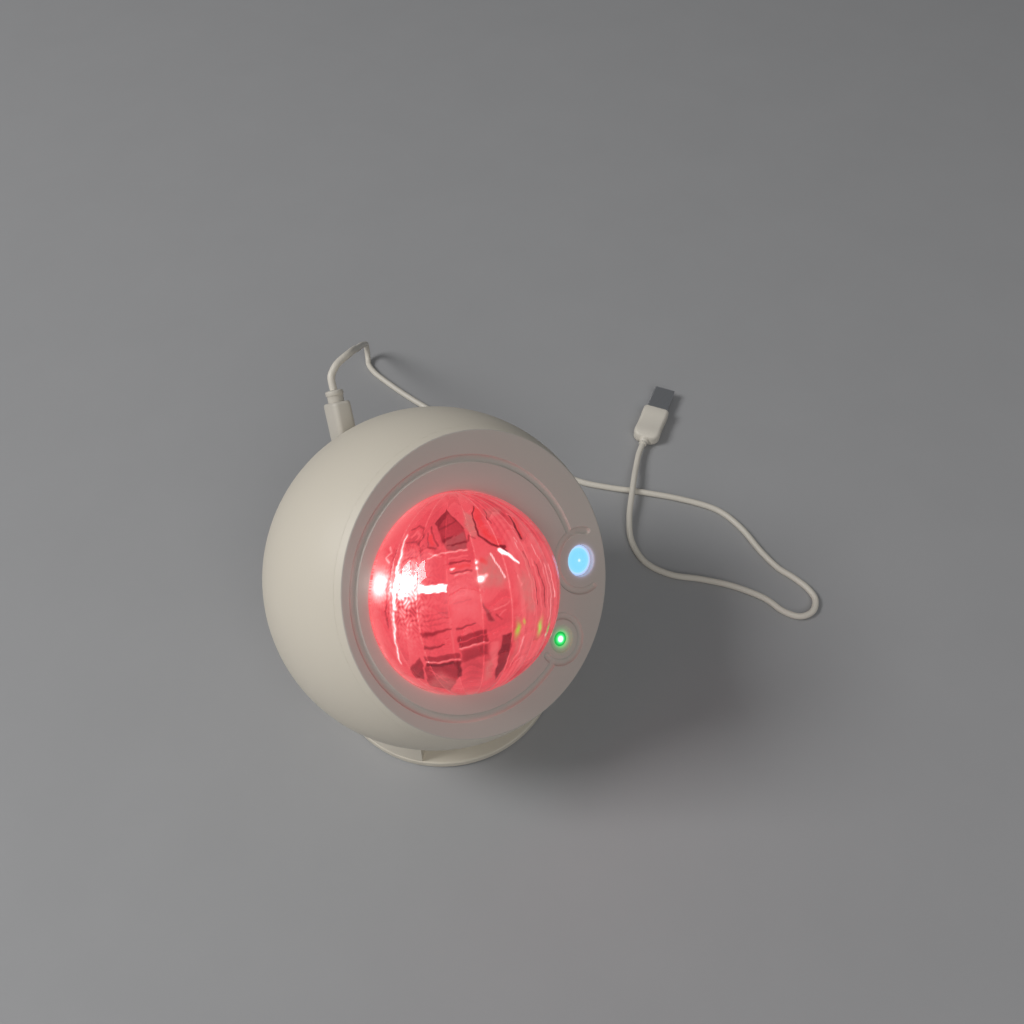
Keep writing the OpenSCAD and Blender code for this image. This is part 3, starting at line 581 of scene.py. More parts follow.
def to_head(points):
    """Room to head axes, the inverse of head_place."""
    x, y, z = np.moveaxis(points, -1, 0)
    c, s = math.cos(FACE_LEAN), math.sin(FACE_LEAN)
    return np.stack([x, y*c + (z - BALL_H)*s, -y*s + (z - BALL_H)*c], -1)


# Face plate
def arc_distance(p, groove):
    """Distance of points from an arc: to the nearest angle on it, clipped at its ends."""
    middle, radius, first, last = groove
    half = math.radians(last - first)/2
    centre = math.radians(first + last)/2
    a = np.arctan2(p[..., 1] - middle[1], p[..., 0] - middle[0]) - centre
    a = np.clip((a + math.pi) % TURN - math.pi, -half, half) + centre
    near = np.stack([middle[0] + radius*np.cos(a), middle[1] + radius*np.sin(a)], -1)
    return np.linalg.norm(p - near, axis=-1)


def groove_depth(p):
    """Depth of the face under points: depth (1 - t^4)^1.5 with t the distance over the half width."""
    d = np.min([arc_distance(p, groove) for groove in GROOVES], axis=0)
    t = np.clip(d/GROOVE_HALF, 0, 1)
    return GROOVE_DEPTH*(1 - t**4)**1.5


def groove_rail(groove, gap, step):
    """A closed line at one distance from an arc: outside, round one end, inside, round the other end."""
    middle, radius, first, last = groove
    first, last = math.radians(first), math.radians(last)
    along = np.linspace(first, last, max(8, int((last - first)*radius/step)))
    cap = np.linspace(0, math.pi, 10)[1:-1]
    outside = np.stack([np.cos(along), np.sin(along)], -1)*(radius + gap)
    inside = np.stack([np.cos(along), np.sin(along)], -1)[::-1]*(radius - gap)
    end = radius*np.array([math.cos(last), math.sin(last)])
    start = radius*np.array([math.cos(first), math.sin(first)])
    end_cap = end + gap*np.stack([np.cos(last + cap), np.sin(last + cap)], -1)
    start_cap = start + gap*np.stack([np.cos(first + math.pi + cap), np.sin(first + math.pi + cap)], -1)
    return np.concatenate([outside, end_cap, inside, start_cap]) + middle


def plate_sheet(loops, holes, filler):
    """A flat sheet through closed lines and loose points, with the round holes left open."""
    points = np.concatenate(loops + [filler])
    edges = []
    start = 0
    for loop in loops:
        edges += [(start + k, start + (k + 1) % len(loop)) for k in range(len(loop))]
        start += len(loop)
    flat = delaunay_2d_cdt([Vector(p) for p in points.tolist()], edges, [], 0, 1e-4)
    made = np.array([tuple(p) for p in flat[0]])
    triangles = np.array([f for f in flat[2] if len(f) == 3])
    middles = made[triangles].mean(1)
    keep = np.ones(len(triangles), bool)
    for middle, radius in holes:
        keep &= np.linalg.norm(middles - middle, axis=1) > radius*HOLE_SLACK
    return made, triangles[keep]


def wall_rows(middle, profile, count):
    """Rings about a middle on the face: each (r, w) of the profile once round."""
    rows = [np.concatenate([circle(middle, r, count), np.full((count, 1), w)], 1) for r, w in profile]
    return np.array(rows)


def round_over(r, w, size, steps=5):
    """A rounded edge of a hole: from the flat at r + size over a quarter circle into the wall."""
    a = np.linspace(0, math.pi/2, steps)
    return [(r + size - size*math.sin(k), w - size + size*math.cos(k)) for k in a]


def make_face_plate(material, rim_material):
    """Face plate: a flat sheet sunk along the grooves, walls down its holes, and a rim like the ball's."""
    rim_r = math.sqrt((BALL_R - RIM_ROUND)**2 - (FACE_OFF - RIM_ROUND)**2)
    dome_hole = DOME_R + DOME_GAP
    holes = [(LENS_AT, dome_hole + EDGE_ROUND, LENS_COUNT), (NEBULA_AT, NEBULA_R + EDGE_ROUND, NEBULA_COUNT),
             (LASER_AT, LASER_STEP_R + EDGE_ROUND, LASER_COUNT)]
    loops = [circle((0, 0), rim_r, RIM_COUNT), circle((0, 0), rim_r - RIM_BAND, RIM_COUNT)]
    loops += [circle(middle, r, n) for middle, r, n in holes]
    loops += [circle(middle, r + HOLE_BAND, n) for middle, r, n in holes]
    for groove, step in zip(GROOVES, RAIL_STEPS):
        loops += [groove_rail(groove, GROOVE_HALF*share, step) for share in RAIL_SHARES]
    axis = np.arange(-FILLER_SPAN, FILLER_SPAN + 1, FILLER_STEP)
    filler = np.stack(np.meshgrid(axis, axis), -1).reshape(-1, 2)
    clear = (np.linalg.norm(filler, axis=1) < rim_r - RIM_MARGIN) & (groove_depth(filler) == 0)
    for middle, r, _ in holes:
        clear &= np.linalg.norm(filler - middle, axis=1) > r + HOLE_MARGIN
    flat, triangles = plate_sheet(loops, [(m, r) for m, r, _ in holes], filler[clear])
    plate = Build()
    plate.sheet(head_place(np.column_stack([flat, FACE_OFF - groove_depth(flat)])), triangles)

    rim_c = FACE_OFF - RIM_ROUND
    turn = np.linspace(math.pi/2, math.atan2(rim_c, rim_r), 8)
    rim = [(rim_r + RIM_ROUND*math.cos(a), rim_c + RIM_ROUND*math.sin(a)) for a in turn]
    seam_w = PLATE_BACK + SEAM
    seam_r = math.sqrt(BALL_R**2 - seam_w**2)
    back = PLATE_BACK + SEAT_GAP
    rim += [(seam_r, seam_w), (seam_r - SEAM, back), (PLATE_INNER_R, back)]
    plate.grid(head_place(wall_rows((0, 0), rim, RIM_COUNT)))
    walls = [
        (LENS_AT, round_over(dome_hole, FACE_OFF, EDGE_ROUND) + [(dome_hole, back)], LENS_COUNT),
        (NEBULA_AT, round_over(NEBULA_R, FACE_OFF, EDGE_ROUND) + [(NEBULA_R, back)], NEBULA_COUNT),
        (LASER_AT, round_over(LASER_STEP_R, FACE_OFF, EDGE_ROUND)
         + [(LASER_STEP_R, LASER_STEP_W + LASER_STEP_ROUND), (LASER_STEP_R - LASER_STEP_ROUND, LASER_STEP_W),
            (LASER_R + LASER_LEAD, LASER_STEP_W), (LASER_R, LASER_STEP_W - LASER_LEAD),
            (LASER_R, back)], LASER_COUNT),
    ]
    for middle, profile, count in walls:
        plate.grid(head_place(wall_rows(middle, profile, count)))
    back_loops = [circle((0, 0), PLATE_INNER_R, RIM_COUNT)]
    back_holes = []
    for middle, profile, count in walls:
        back_loops.append(circle(middle, profile[-1][0], count))
        back_holes.append((middle, profile[-1][0]))
    flat, triangles = plate_sheet(back_loops, back_holes, np.zeros((0, 2)))
    plate.sheet(head_place(np.column_stack([flat, np.full(len(flat), back)])), triangles)
    thing = plate.piece("face_plate", material, "head", ["front_bezel"], sharp=50)
    thing.data.materials.append(rim_material)
    middles = np.empty(len(thing.data.polygons)*3)
    thing.data.polygons.foreach_get("center", middles)
    local = to_head(middles.reshape(-1, 3)/MM)
    outside = (np.linalg.norm(local, axis=1) > BALL_R - RIM_BAND) & (local[:, 2] < FACE_OFF - RIM_ROUND/4)
    thing.data.polygons.foreach_set("material_index", outside.astype(np.int32))


# Dome
def dome_angles(counts):
    """A grid of the angles p (across the flutes) and q (along them, pole to pole), each over a half turn."""
    across, along = (np.linspace(0, math.pi, count) for count in counts)
    return np.meshgrid(across, along, indexing="ij")


def dome_grid(radius, rise, depth):
    """Half dome with creases between flutes: r = radius - depth (1 - |sin(flutes p)|^power) sin q sin p."""
    p, q = dome_angles(DOME_COUNTS)
    crease = np.abs(np.sin(p*FLUTES))**FLUTE_POWER
    r = radius - depth*(1 - crease)*np.sin(q)*np.sin(p)
    return dome_place(r, rise/radius, p, q)


def dome_place(r, squash, p, q):
    """Radius and angles to the room, with the poles along the flutes' direction on the face.

    along = r cos q, across = r sin q cos p, height = r sin q sin p squash.
    """
    along, across = r*np.cos(q), r*np.sin(q)*np.cos(p)
    c, s = math.cos(FLUTE_TURN), math.sin(FLUTE_TURN)
    return head_place(np.stack([LENS_AT[0] + along*c + across*s, LENS_AT[1] + along*s - across*c,
                                FACE_OFF + r*squash*np.sin(q)*np.sin(p)], -1))


def rim_of(grid):
    """The loop of a half dome's edge: down its first row and up its last."""
    return np.concatenate([grid[0, ::-1], grid[-1, 1:-1]])


def dropped(loop, w):
    """A loop's points moved along the face's axis to the height w."""
    flat = to_head(loop)
    flat[:, 2] = w
    return head_place(flat)


def make_dome(material):
    """Clear dome: fluted outside and smooth inside, joined by a skirt that stands behind the face."""
    outer = dome_grid(DOME_R, DOME_RISE, FLUTE_DEPTH)
    inner = dome_grid(DOME_R - DOME_WALL, DOME_RISE - DOME_WALL, 0)
    dome = Build()
    dome.grid(outer, wrap=False)
    dome.grid(inner, wrap=False)
    edge, edge_in = rim_of(outer), rim_of(inner)
    dome.grid([edge, dropped(edge, PLATE_BACK), dropped(edge_in, PLATE_BACK), edge_in])
    dome.piece("dome_clear", material, "head", ["dome_lens"], sharp=35)


def steady_noise(a, b):
    """A repeatable value from 0 to 1 for each pair of whole numbers."""
    wave = np.sin(a*12.9898 + b*78.233)*43758.5453
    return wave - np.floor(wave)


def ledges_of(p, q):
    """For each point: its flute, its ledge and how far down the ledge it lies; ledges differ in height."""
    flute = np.clip(np.floor(p*FLUTES/math.pi), 0, FLUTES - 1)
    across = p*FLUTES/math.pi - flute - 0.5
    t = q/math.pi*LEDGES + steady_noise(flute, 3.0)
    t += 0.38*np.sin(2.3*t + TURN*steady_noise(flute, 5.0))
    t += (0.5*steady_noise(flute, 9.0) - 0.25)*across
    t += 0.12*np.sin(5*across + TURN*steady_noise(flute, 13.0))
    return flute, np.floor(t), t - np.floor(t)


# Colours of the lit core's painted glow: heat, its brightness, and the tone it has, from maroon over red and
# pink to white
HEAT_TONES = [
    (0.0, (0.09, 0.006, 0.012)), (0.22, (0.32, 0.022, 0.034)), (0.45, (0.70, 0.070, 0.090)),
    (0.66, (0.86, 0.18, 0.19)), (0.85, (1.0, 0.50, 0.50)), (1.1, (1.4, 1.35, 1.35)),
]
SALMON = (0.82, 0.18, 0.19)
RED = (0.76, 0.032, 0.034)
GREY = (0.50, 0.19, 0.17)
DIM = (0.34, 0.085, 0.09)

# Its heat without marks: middle, spread over ledges, fall down a ledge, steps in a ledge and their spread
MID_HEAT = 0.45
LEDGE_SPREAD = 0.09
LEDGE_FALL = 0.05
LEDGE_STEPS = 7
STEP_SPREAD = 0.07
# Threads on the far side, in degrees; painted highlight and shade along the creases between flutes; the
# bright foot's height in millimetres
THREAD_WIDE = 2.2
THREAD_SPREAD = 0.24
FAR_SIDE = 90
FAR_FADE = 10
CREASE_SHADING_WIDE = 0.10
CREASE_SHADING_SPREAD = 0.36
CREASE_SHADING_BALANCE = 0.40
FOOT_HEAT = 0.14
FOOT_HIGH = 4.5
# Crackle: strength all over, then in one soft patch with its place and half sizes
CRACKLE = 0.02
CRACKLE_PATCH = (151, 80, 12, 20, 0.34)

# Marks on the lit core: across and along in degrees
# Soft glows: place, half sizes, change of heat; the small bright spots near 103 to 108 across and 65 to 75
# along are painted glints
HEAT_SPOTS = [
    (171, 76, 9, 9, 0.75), (150, 76, 8, 6.5, 0.75), (152, 80, 11, 20, 0.18), (150, 50, 8, 5, -0.10),
    (155, 103, 6, 14, 0.10), (114, 127, 9, 10, -0.15), (140, 131, 6, 4, 0.12), (107.4, 65.5, 1.4, 1.2, 0.5),
    (108, 69, 1.2, 1.1, 0.5), (106.5, 75, 2.4, 2.0, 0.85), (103, 73.5, 1.4, 1.2, 0.35), (134, 84, 6, 3, 0.10),
]
# Crisp facets: change of heat, softness of the edge, convex outline; the bright bar near 126 to 143 across is
# a painted highlight
HEAT_FACETS = [
    (-0.20, 0.4, [(136, 38.7), (127, 27.5), (111.4, 44.3), (112, 57.3), (124.4, 57)]),
    (-0.16, 0.5, [(136, 38.7), (127, 27.5), (123.5, 31), (133, 43)]),
    (0.9, 0.35, [(143, 75.2), (126.2, 76), (126, 80.2), (143, 79.4)]),
    (-0.30, 0.4, [(123, 104.5), (105.8, 102.5), (105.5, 110), (122.2, 111.3)]),
    (-0.24, 1.2, [(122, 113), (105.5, 111.3), (104.8, 118), (122, 121)]),
    (-0.24, 0.3, [(146.5, 116.3), (123.3, 115), (122.9, 118.6), (146.3, 119.8)]),
    (-0.24, 0.5, [(147, 121.5), (122.4, 120.3), (124, 132), (141, 149), (157, 141)]),
    (-0.34, 0.6, [(149.5, 116.5), (163, 126.5), (164, 134), (156, 134), (149, 123)]),
    (-0.34, 0.5, [(96.3, 108), (89.8, 107), (89.8, 119), (92.5, 133), (95.5, 142), (98.5, 132), (98, 118)]),
    (-0.30, 0.4, [(107, 87), (105.2, 97.5), (102, 98.8), (104.2, 92)]),
]
# Lines: change of heat, half width at the first and at the last point, points; the first three bright lines,
# near 158 across, and the bright line from 91 to 80 across are painted highlights
HEAT_LINES = [
    (0.20, 2.0, 1.2, [(158.5, 48), (157.5, 56), (157.5, 68), (158.8, 82), (160.5, 97), (164, 110),
                      (168, 121)]),
    (0.34, 0.5, 1.3, [(158.5, 46), (157.5, 60), (158, 76), (159, 88)]),
    (0.30, 1.0, 0.4, [(159.5, 91), (161, 100), (164, 111), (168, 122)]),
    (-0.20, 0.5, 0.7, [(163, 56), (163.5, 70), (165, 84), (166, 98)]),
    (0.30, 0.6, 0.6, [(171, 54), (167, 57), (170, 60), (166, 63)]),
    (-0.20, 0.6, 0.9, [(156, 43), (150, 40), (144.5, 42.5), (143, 48), (146.5, 52.5)]),
    (0.14, 0.8, 0.8, [(154, 47.5), (150, 44), (146.8, 46.5), (149, 50)]),
    (-0.16, 0.5, 0.8, [(156.5, 51), (149, 50.5), (143.5, 55), (141.5, 61)]),
    (-0.26, 0.5, 0.7, [(139, 41), (134.5, 48), (131.5, 54)]),
    (-0.24, 0.5, 0.5, [(139.5, 45), (138.5, 54), (133, 55.5)]),
    (0.34, 0.4, 0.5, [(137, 61), (130.5, 59), (124.5, 57.9), (118, 58), (111.9, 58.3)]),
    (0.22, 0.4, 0.3, [(137, 57.5), (134, 59.5), (129, 60.8)]),
    (-0.14, 0.9, 0.4, [(131.5, 43.5), (117, 38.3)]),
    (-0.20, 1.3, 0.5, [(127.5, 51.5), (121.5, 48.6)]),
    (-0.24, 0.5, 0.4, [(127, 27.5), (111.4, 44.3)]),
    (-0.20, 0.4, 0.7, [(124.4, 54), (112.4, 53.4)]),
    (0.16, 0.5, 0.4, [(124, 61.6), (112, 61.4)]),
    (-0.28, 0.8, 0.4, [(123.4, 64.2), (111.8, 64.6)]),
    (-0.32, 0.5, 0.5, [(123.6, 69.8), (111.4, 69.9)]),
    (0.24, 0.5, 0.3, [(121, 71.2), (113, 71)]),
    (0.45, 0.8, 0.5, [(122.4, 67.6), (120.6, 67.4)]),
    (-0.08, 0.5, 0.5, [(142, 91.4), (127, 91)]), (-0.09, 0.5, 0.4, [(142, 94.4), (127, 93.8)]),
    (-0.08, 0.5, 0.4, [(142, 97.2), (127, 96.6)]), (-0.08, 0.5, 0.3, [(123, 86), (113, 85.4)]),
    (-0.30, 1.7, 0.4, [(142.8, 102.6), (126.3, 100.2)]),
    (-0.30, 1.2, 0.3, [(143.6, 110.6), (131, 109)]),
    (0.24, 0.4, 0.4, [(146.5, 120.4), (122.8, 119.2)]),
    (-0.34, 1.2, 0.8, [(146, 122.4), (128, 121.6)]),
    (-0.22, 2.0, 1.4, [(124.5, 122), (126, 133)]),
    (0.18, 0.6, 0.5, [(146, 126.5), (142, 130), (137.5, 137)]),
    (-0.32, 0.7, 0.3, [(122.8, 100.2), (112.5, 98.7)]),
    (0.20, 0.5, 0.3, [(122.5, 108.4), (106, 105.2)]),
    (0.26, 0.5, 0.5, [(122.2, 112), (105.6, 110)]),
    (-0.55, 0.4, 1.0, [(93, 27), (99.5, 34), (102, 41), (101.5, 50.5), (95.3, 57), (86.1, 59.3)]),
    (-0.30, 0.4, 0.6, [(83.5, 32), (87.5, 38.5), (86.5, 43)]),
    (-0.26, 0.5, 0.5, [(111, 52.5), (109.3, 49), (105, 51)]),
    (0.95, 1.5, 0.3, [(91, 60.2), (86, 64.4), (80, 70.8)]),
    (-0.80, 0.8, 0.5, [(88.4, 59.2), (86.2, 62.4)]),
    (0.45, 0.6, 0.5, [(97.4, 62.5), (95, 69), (92.6, 76)]),
    (0.20, 0.4, 0.3, [(101, 92.5), (96, 91.8), (92, 89.4)]), (0.18, 0.4, 0.3, [(98, 96), (94, 93.4)]),
    (-0.22, 0.6, 0.3, [(100, 95.6), (97.5, 98.5)]),
    (-0.50, 0.5, 1.0, [(63.5, 41), (66, 47), (69, 56.5)]),
    (0.30, 0.4, 0.4, [(63, 39), (60.5, 42)]), (0.30, 0.4, 0.4, [(70.5, 47), (67.5, 51)]),
    (0.28, 0.5, 0.3, [(76, 55), (75, 58)]), (0.18, 0.5, 0.5, [(84, 77), (82.5, 83), (80.5, 80)]),
    (-0.30, 0.5, 0.4, [(74, 64), (71.5, 78), (70.8, 95)]),
    (-0.26, 0.5, 0.4, [(67, 72), (64.5, 86), (64, 98)]),
    (0.24, 0.5, 0.5, [(68.8, 70), (67.8, 88), (67.2, 104)]),
    (0.30, 0.7, 0.7, [(59, 74), (57, 92), (58, 108)]),
    (0.42, 0.8, 0.8, [(52, 76), (50, 95)]), (0.22, 0.4, 0.5, [(77, 58), (75, 74), (74.4, 100)]),
    (0.30, 0.4, 0.5, [(63, 62), (61, 82), (61, 104)]), (0.26, 0.6, 0.4, [(81, 112), (83, 122), (86, 132)]),
]
# Tinted facets: colour, share, softness, convex outline; the two grey facets near 91 to 111 across, 29 to 81
# along, are painted reflections
TINT_FACETS = [
    (DIM, 0.80, 0.8, [(128, 51), (112, 47), (112, 57.3), (124.4, 57)]),
    (GREY, 0.85, 3.0, [(107.6, 67), (97.4, 63.5), (91.6, 77), (95, 81), (107.4, 78.6)]),
    (GREY, 0.80, 1.5, [(107.5, 29), (100.5, 36), (102.4, 50), (106.5, 50), (111, 42)]),
    (DIM, 0.85, 0.5, [(107, 87), (105.2, 97.5), (102, 98.8), (104.2, 92)]),
    (GREY, 0.55, 2.0, [(106, 124), (102, 122), (99.5, 138), (106, 142)]),
    (GREY, 0.45, 3.0, [(157, 141), (141, 149), (130, 138), (138, 128)]),
    (SALMON, 0.45, 3.0, [(86, 62), (60, 40), (44, 70), (44, 120), (70, 140), (86, 120)]),
    (SALMON, 0.5, 0.6, [(104, 111), (98.8, 111), (99, 132), (103, 122)]),
]
# Tinted lines: colour, share, half width at the first and at the last point, points; the wide grey line near
# 79 across is a painted reflection
TINT_LINES = [
    (RED, 0.85, 3.6, 2.8, [(93.5, 31), (97, 38), (97.6, 46), (95, 51.6), (89, 55.8)]),
    (RED, 0.75, 1.5, 1.0, [(122, 67), (112.4, 67.2)]), (RED, 0.80, 1.5, 1.5, [(104, 64.6), (102, 66.4)]),
    (RED, 0.70, 1.8, 1.4, [(137, 48), (135.6, 52.4)]),
    (RED, 0.75, 1.4, 1.0, [(61, 42.5), (64.6, 50), (67, 56)]),
    (GREY, 0.60, 5.0, 4.0, [(79.4, 80), (78.6, 88), (77.4, 95)]),
    (GREY, 0.45, 3.5, 2.5, [(84, 36), (66, 34)]),
    (GREY, 0.35, 1.8, 1.2, [(86.5, 100), (85.5, 116), (86, 128)]),
    (GREY, 0.40, 1.2, 1.2, [(75.5, 66), (73, 84)]),
]
# Green light caught in the dome: place, half sizes, colour
GREEN_SPOTS = [
    (86.2, 106.6, 1.4, 3.6, (0.34, 0.58, 0.06)), (82, 103, 0.8, 1.6, (0.45, 0.52, 0.08)),
    (66.8, 109.6, 1.6, 4.2, (0.34, 0.74, 0.12)), (56, 112.6, 1.6, 3.4, (0.12, 0.80, 0.16)),
    (58.6, 115, 0.9, 0.9, (0.75, 1.1, 0.80)),
]


def line_share(p, q, points, first, last):
    """One on a bent line, fading past its half width, which goes evenly from first to last."""
    share = np.zeros_like(p)
    spans = len(points) - 1
    for k in range(spans):
        (p0, q0), (p1, q1) = points[k], points[k + 1]
        run_p, run_q = p1 - p0, q1 - q0
        t = np.clip(((p - p0)*run_p + (q - q0)*run_q)/(run_p**2 + run_q**2), 0, 1)
        gap = np.hypot(p - p0 - t*run_p, q - q0 - t*run_q)
        half = first + (last - first)*(k + t)/spans
        share = np.maximum(share, np.exp(-(gap/half)**3))
    return share


def facet_share(p, q, points, soft):
    """One inside a convex outline: a smooth step of the way in from the nearest edge, as wide as soft."""
    corners = np.array(points, float)
    middle = corners.mean(0)
    inside = np.full_like(p, 1e3)
    for a, b in zip(corners, np.roll(corners, -1, axis=0)):
        normal = np.array([a[1] - b[1], b[0] - a[0]])/np.linalg.norm(b - a)
        normal *= np.sign(normal @ (middle - a))
        inside = np.minimum(inside, (p - a[0])*normal[0] + (q - a[1])*normal[1])
    return 1/(1 + np.exp(np.clip(-inside/soft*3, -50, 50)))


def core_angles(points):
    """Angles across and along the flutes, and the height over the face, of points on the core."""
    local = to_head(points) - np.array([*LENS_AT, FACE_OFF])
    c, s = math.cos(FLUTE_TURN), math.sin(FLUTE_TURN)
    along, across = local[:, 0]*c + local[:, 1]*s, local[:, 0]*s - local[:, 1]*c
    up = local[:, 2]*DOME_R/DOME_RISE
    q = np.arccos(np.clip(along/np.linalg.norm(np.stack([along, across, up]), axis=0), -1, 1))
    return np.clip(np.arctan2(up, across), 0, math.pi), q, up


def spot_share(p, q, spot_p, spot_q, wide, high):
    """A soft round spot: exp(-(across/wide)^2 - (along/high)^2)."""
    return np.exp(-((p - spot_p)/wide)**2 - ((q - spot_q)/high)**2)


def wavy(pd, qd):
    """Angles moved by small waves, so that the marks' edges wander."""
    wp = pd + 0.45*np.sin(0.45*qd + 0.2*pd) + 0.2*np.sin(1.1*qd)
    wq = qd + 0.35*np.sin(0.4*pd) + 0.2*np.sin(1.1*pd + 0.3*qd)
    return wp, wq


def core_heat(p, q, up):
    """Heat of the lit core: ledges, threads on the far side, crackle, marks, painted highlight and shade
    along the creases and a bright foot.
    """
    flute, ledge, down = ledges_of(p, q)
    heat = MID_HEAT + LEDGE_SPREAD*(steady_noise(flute, ledge) - 0.5) + LEDGE_FALL*(0.5 - down)
    heat += STEP_SPREAD*(steady_noise(flute*LEDGES + ledge, np.floor(down*LEDGE_STEPS)) - 0.5)
    pd, qd = np.degrees(p), np.degrees(q)
    thread = np.floor(pd/THREAD_WIDE)
    streak = (steady_noise(thread, 7.0) - 0.5)*(0.6 + 0.4*np.sin(4*q + TURN*steady_noise(thread, 3.0)))
    heat += THREAD_SPREAD*streak*np.clip((FAR_SIDE - pd)/FAR_FADE, 0, 1)
    crackle = np.sin(1.5*pd + 2*np.sin(0.7*qd))*np.sin(1.3*qd + 2*np.sin(0.9*pd))
    heat += CRACKLE_PATCH[4]*crackle*spot_share(pd, qd, *CRACKLE_PATCH[:4]) + CRACKLE*crackle
    for *spot, change in HEAT_SPOTS:
        heat += change*spot_share(pd, qd, *spot)
    wp, wq = wavy(pd, qd)
    for change, soft, points in HEAT_FACETS:
        heat += change*facet_share(wp, wq, points, soft)
    for change, first, last, points in HEAT_LINES:
        heat += change*line_share(wp, wq, points, first, last)
    # Painted highlight and shade along the creases between flutes: lighter on some flutes, darker on others
    crease_gap = np.abs(np.sin(p*FLUTES))
    heat += CREASE_SHADING_SPREAD*np.exp(-(crease_gap/CREASE_SHADING_WIDE)**2)*(steady_noise(flute, 11.0) - CREASE_SHADING_BALANCE)
    return heat + FOOT_HEAT*np.exp(-(up/FOOT_HIGH)**2)


def tone_at(places, tones):
    """Colours read off a row of (place, colour) stops, evenly mixed between neighbours."""
    stops = [stop for stop, _ in tones]
    colours = np.array([colour for _, colour in tones])
    return np.stack([np.interp(places, stops, colours[:, k]) for k in range(3)], -1)


def core_glow(points):
    """Colour of the lit core: the tone of its heat, tinted where it is cool, then spots of green light."""
    p, q, up = core_angles(points)
    heat = np.clip(core_heat(p, q, up), 0, HEAT_TONES[-1][0])
    glow = tone_at(heat, HEAT_TONES)
    wp, wq = wavy(np.degrees(p), np.degrees(q))
    mottle = 0.8 + 0.2*np.sin(0.9*wp + 1.5*np.sin(0.5*wq))*np.sin(0.7*wq + 1.5*np.sin(0.6*wp))
    cool = mottle*np.clip((0.72 - heat)/0.1, 0, 1)*np.clip((heat - 0.12)/0.1, 0, 1)
    tints = [(colour, share*facet_share(wp, wq, outline, soft))
             for colour, share, soft, outline in TINT_FACETS]
    tints += [(colour, share*line_share(wp, wq, line, first, last))
              for colour, share, first, last, line in TINT_LINES]
    for colour, share in tints:
        glow += (share*cool)[:, None]*(np.array(colour) - glow)
    for *spot, colour in GREEN_SPOTS:
        glow += spot_share(wp, wq, *spot)[:, None]*(np.array(colour) - glow)
    return glow


def make_core(material):
    """Lit core inside the dome: each flute is cut into ledges, r = radius - depth times the way down."""
    p, q = dome_angles(CORE_COUNTS)
    _, _, down = ledges_of(p, q)
    crease = np.abs(np.sin(p*FLUTES))**CORE_POWER
    r = CORE_R - (LEDGE_DEPTH*down + CORE_CREASE*(1 - crease))*np.sin(q)*np.sin(p)
    grid = dome_place(r, DOME_RISE/DOME_R, p, q)
    core = Build()
    core.grid(grid, wrap=False)
    edge = rim_of(grid)
    core.grid([edge, dropped(edge, CORE_FOOT)], cap_last=True)
    inner, outer, height = GLOW_RING
    ring = [(inner, height), (outer, height), (outer, CORE_FOOT), (inner, CORE_FOOT), (inner, height)]
    core.grid(head_place(wall_rows(LENS_AT, ring, GLOW_RING_COUNT)))
    thing = core.piece("dome_core", material, "head", sharp=30)
    paint(thing, core_glow(mesh_points(thing)))


# Rings of light in the windows: radius, colour
NEBULA_TONES = [
    (0.0, (0.95, 1.0, 1.0)), (0.5, (0.60, 0.90, 1.0)), (0.9, (0.26, 0.70, 0.92)), (3.6, (0.24, 0.68, 0.92)),
    (5.4, (0.28, 0.70, 0.92)), (5.9, (0.62, 0.78, 1.0)), (6.3, (0.30, 0.50, 0.85)), (7.0, (0.70, 0.68, 0.95)),
]
LASER_TONES = [
    (0.0, (1.0, 1.5, 1.1)), (1.1, (0.8, 1.5, 0.95)), (1.6, (0.05, 0.85, 0.20)), (2.4, (0.01, 0.42, 0.06)),
    (3.2, (0.0, 0.16, 0.03)),
]


def make_window(name, middle, profile, count, material, node, tones):
    """A round window from its (r, w) profile, lit by rings of colour about its middle."""
    rows = head_place(wall_rows(middle, profile, count))
    window = Build()
    window.grid(rows, cap_first=True, cap_last=True)
    thing = window.piece(name, material, "head", [node], sharp=50)
    far = np.linalg.norm(to_head(mesh_points(thing))[:, :2] - middle, axis=1)
    paint(thing, tone_at(far, tones))


def crown(radius, edge_w, rise, steps):
    """Profile of a shallow crown: w = edge + rise (1 - (r/radius)^2), from the middle out."""
    r = np.linspace(CROWN_START, radius, steps)
    return [(k, edge_w + rise*(1 - (k/radius)**2)) for k in r]


def make_windows(blue, green):
    """Blue nebula window and green laser window."""
    nebula_r = NEBULA_R - NEBULA_GAP
    nebula = crown(nebula_r, NEBULA_EDGE, NEBULA_CROWN, 18) + [(nebula_r, NEBULA_FOOT)]
    make_window("nebula_window", NEBULA_AT, nebula, 64, blue, "nebula_lens", NEBULA_TONES)
    laser_r = LASER_R - LASER_GAP
    laser = crown(laser_r, LASER_EDGE, LASER_CROWN, 12) + [(laser_r, LASER_FOOT)]
    make_window("laser_window", LASER_AT, laser, 48, green, "laser_grating", LASER_TONES)


# Plugs
def rounded_ring(width, height, radius, steps=7):
    """A rounded rectangle: a quarter circle round each corner's centre."""
    a = np.linspace(0, math.pi/2, steps)
    quarter = np.stack([np.cos(a), np.sin(a)], -1)*radius
    x, y = width/2 - radius, height/2 - radius
    turn = np.array([[0, -1], [1, 0]])
    corners = [(x, y), (-x, y), (-x, -y), (x, -y)]
    rings = []
    for corner in corners:
        rings.append(quarter + corner)
        quarter = quarter @ turn.T
    return np.concatenate(rings)


def make_plug(material):
    """Plug's grip: rounded rectangles along s, chamfered at the socket and rounded at the shoulders."""
    rows = []
    for along, inset in PLUG_SECTIONS:
        ring = rounded_ring(PLUG_H - inset, PLUG_W - 1.4*inset, PLUG_ROUND)
        rows.append(np.column_stack([np.full(len(ring), PLUG_START + along), PLUG_SIDE + ring[:, 0],
                                     -PLUG_BACK + ring[:, 1]]))
    plug = Build()
    plug.grid(plug_place(np.array(rows)), cap_first=True, cap_last=True)
    return plug.piece("plug_body", material, "head", ["plug_grip"], sharp=60)


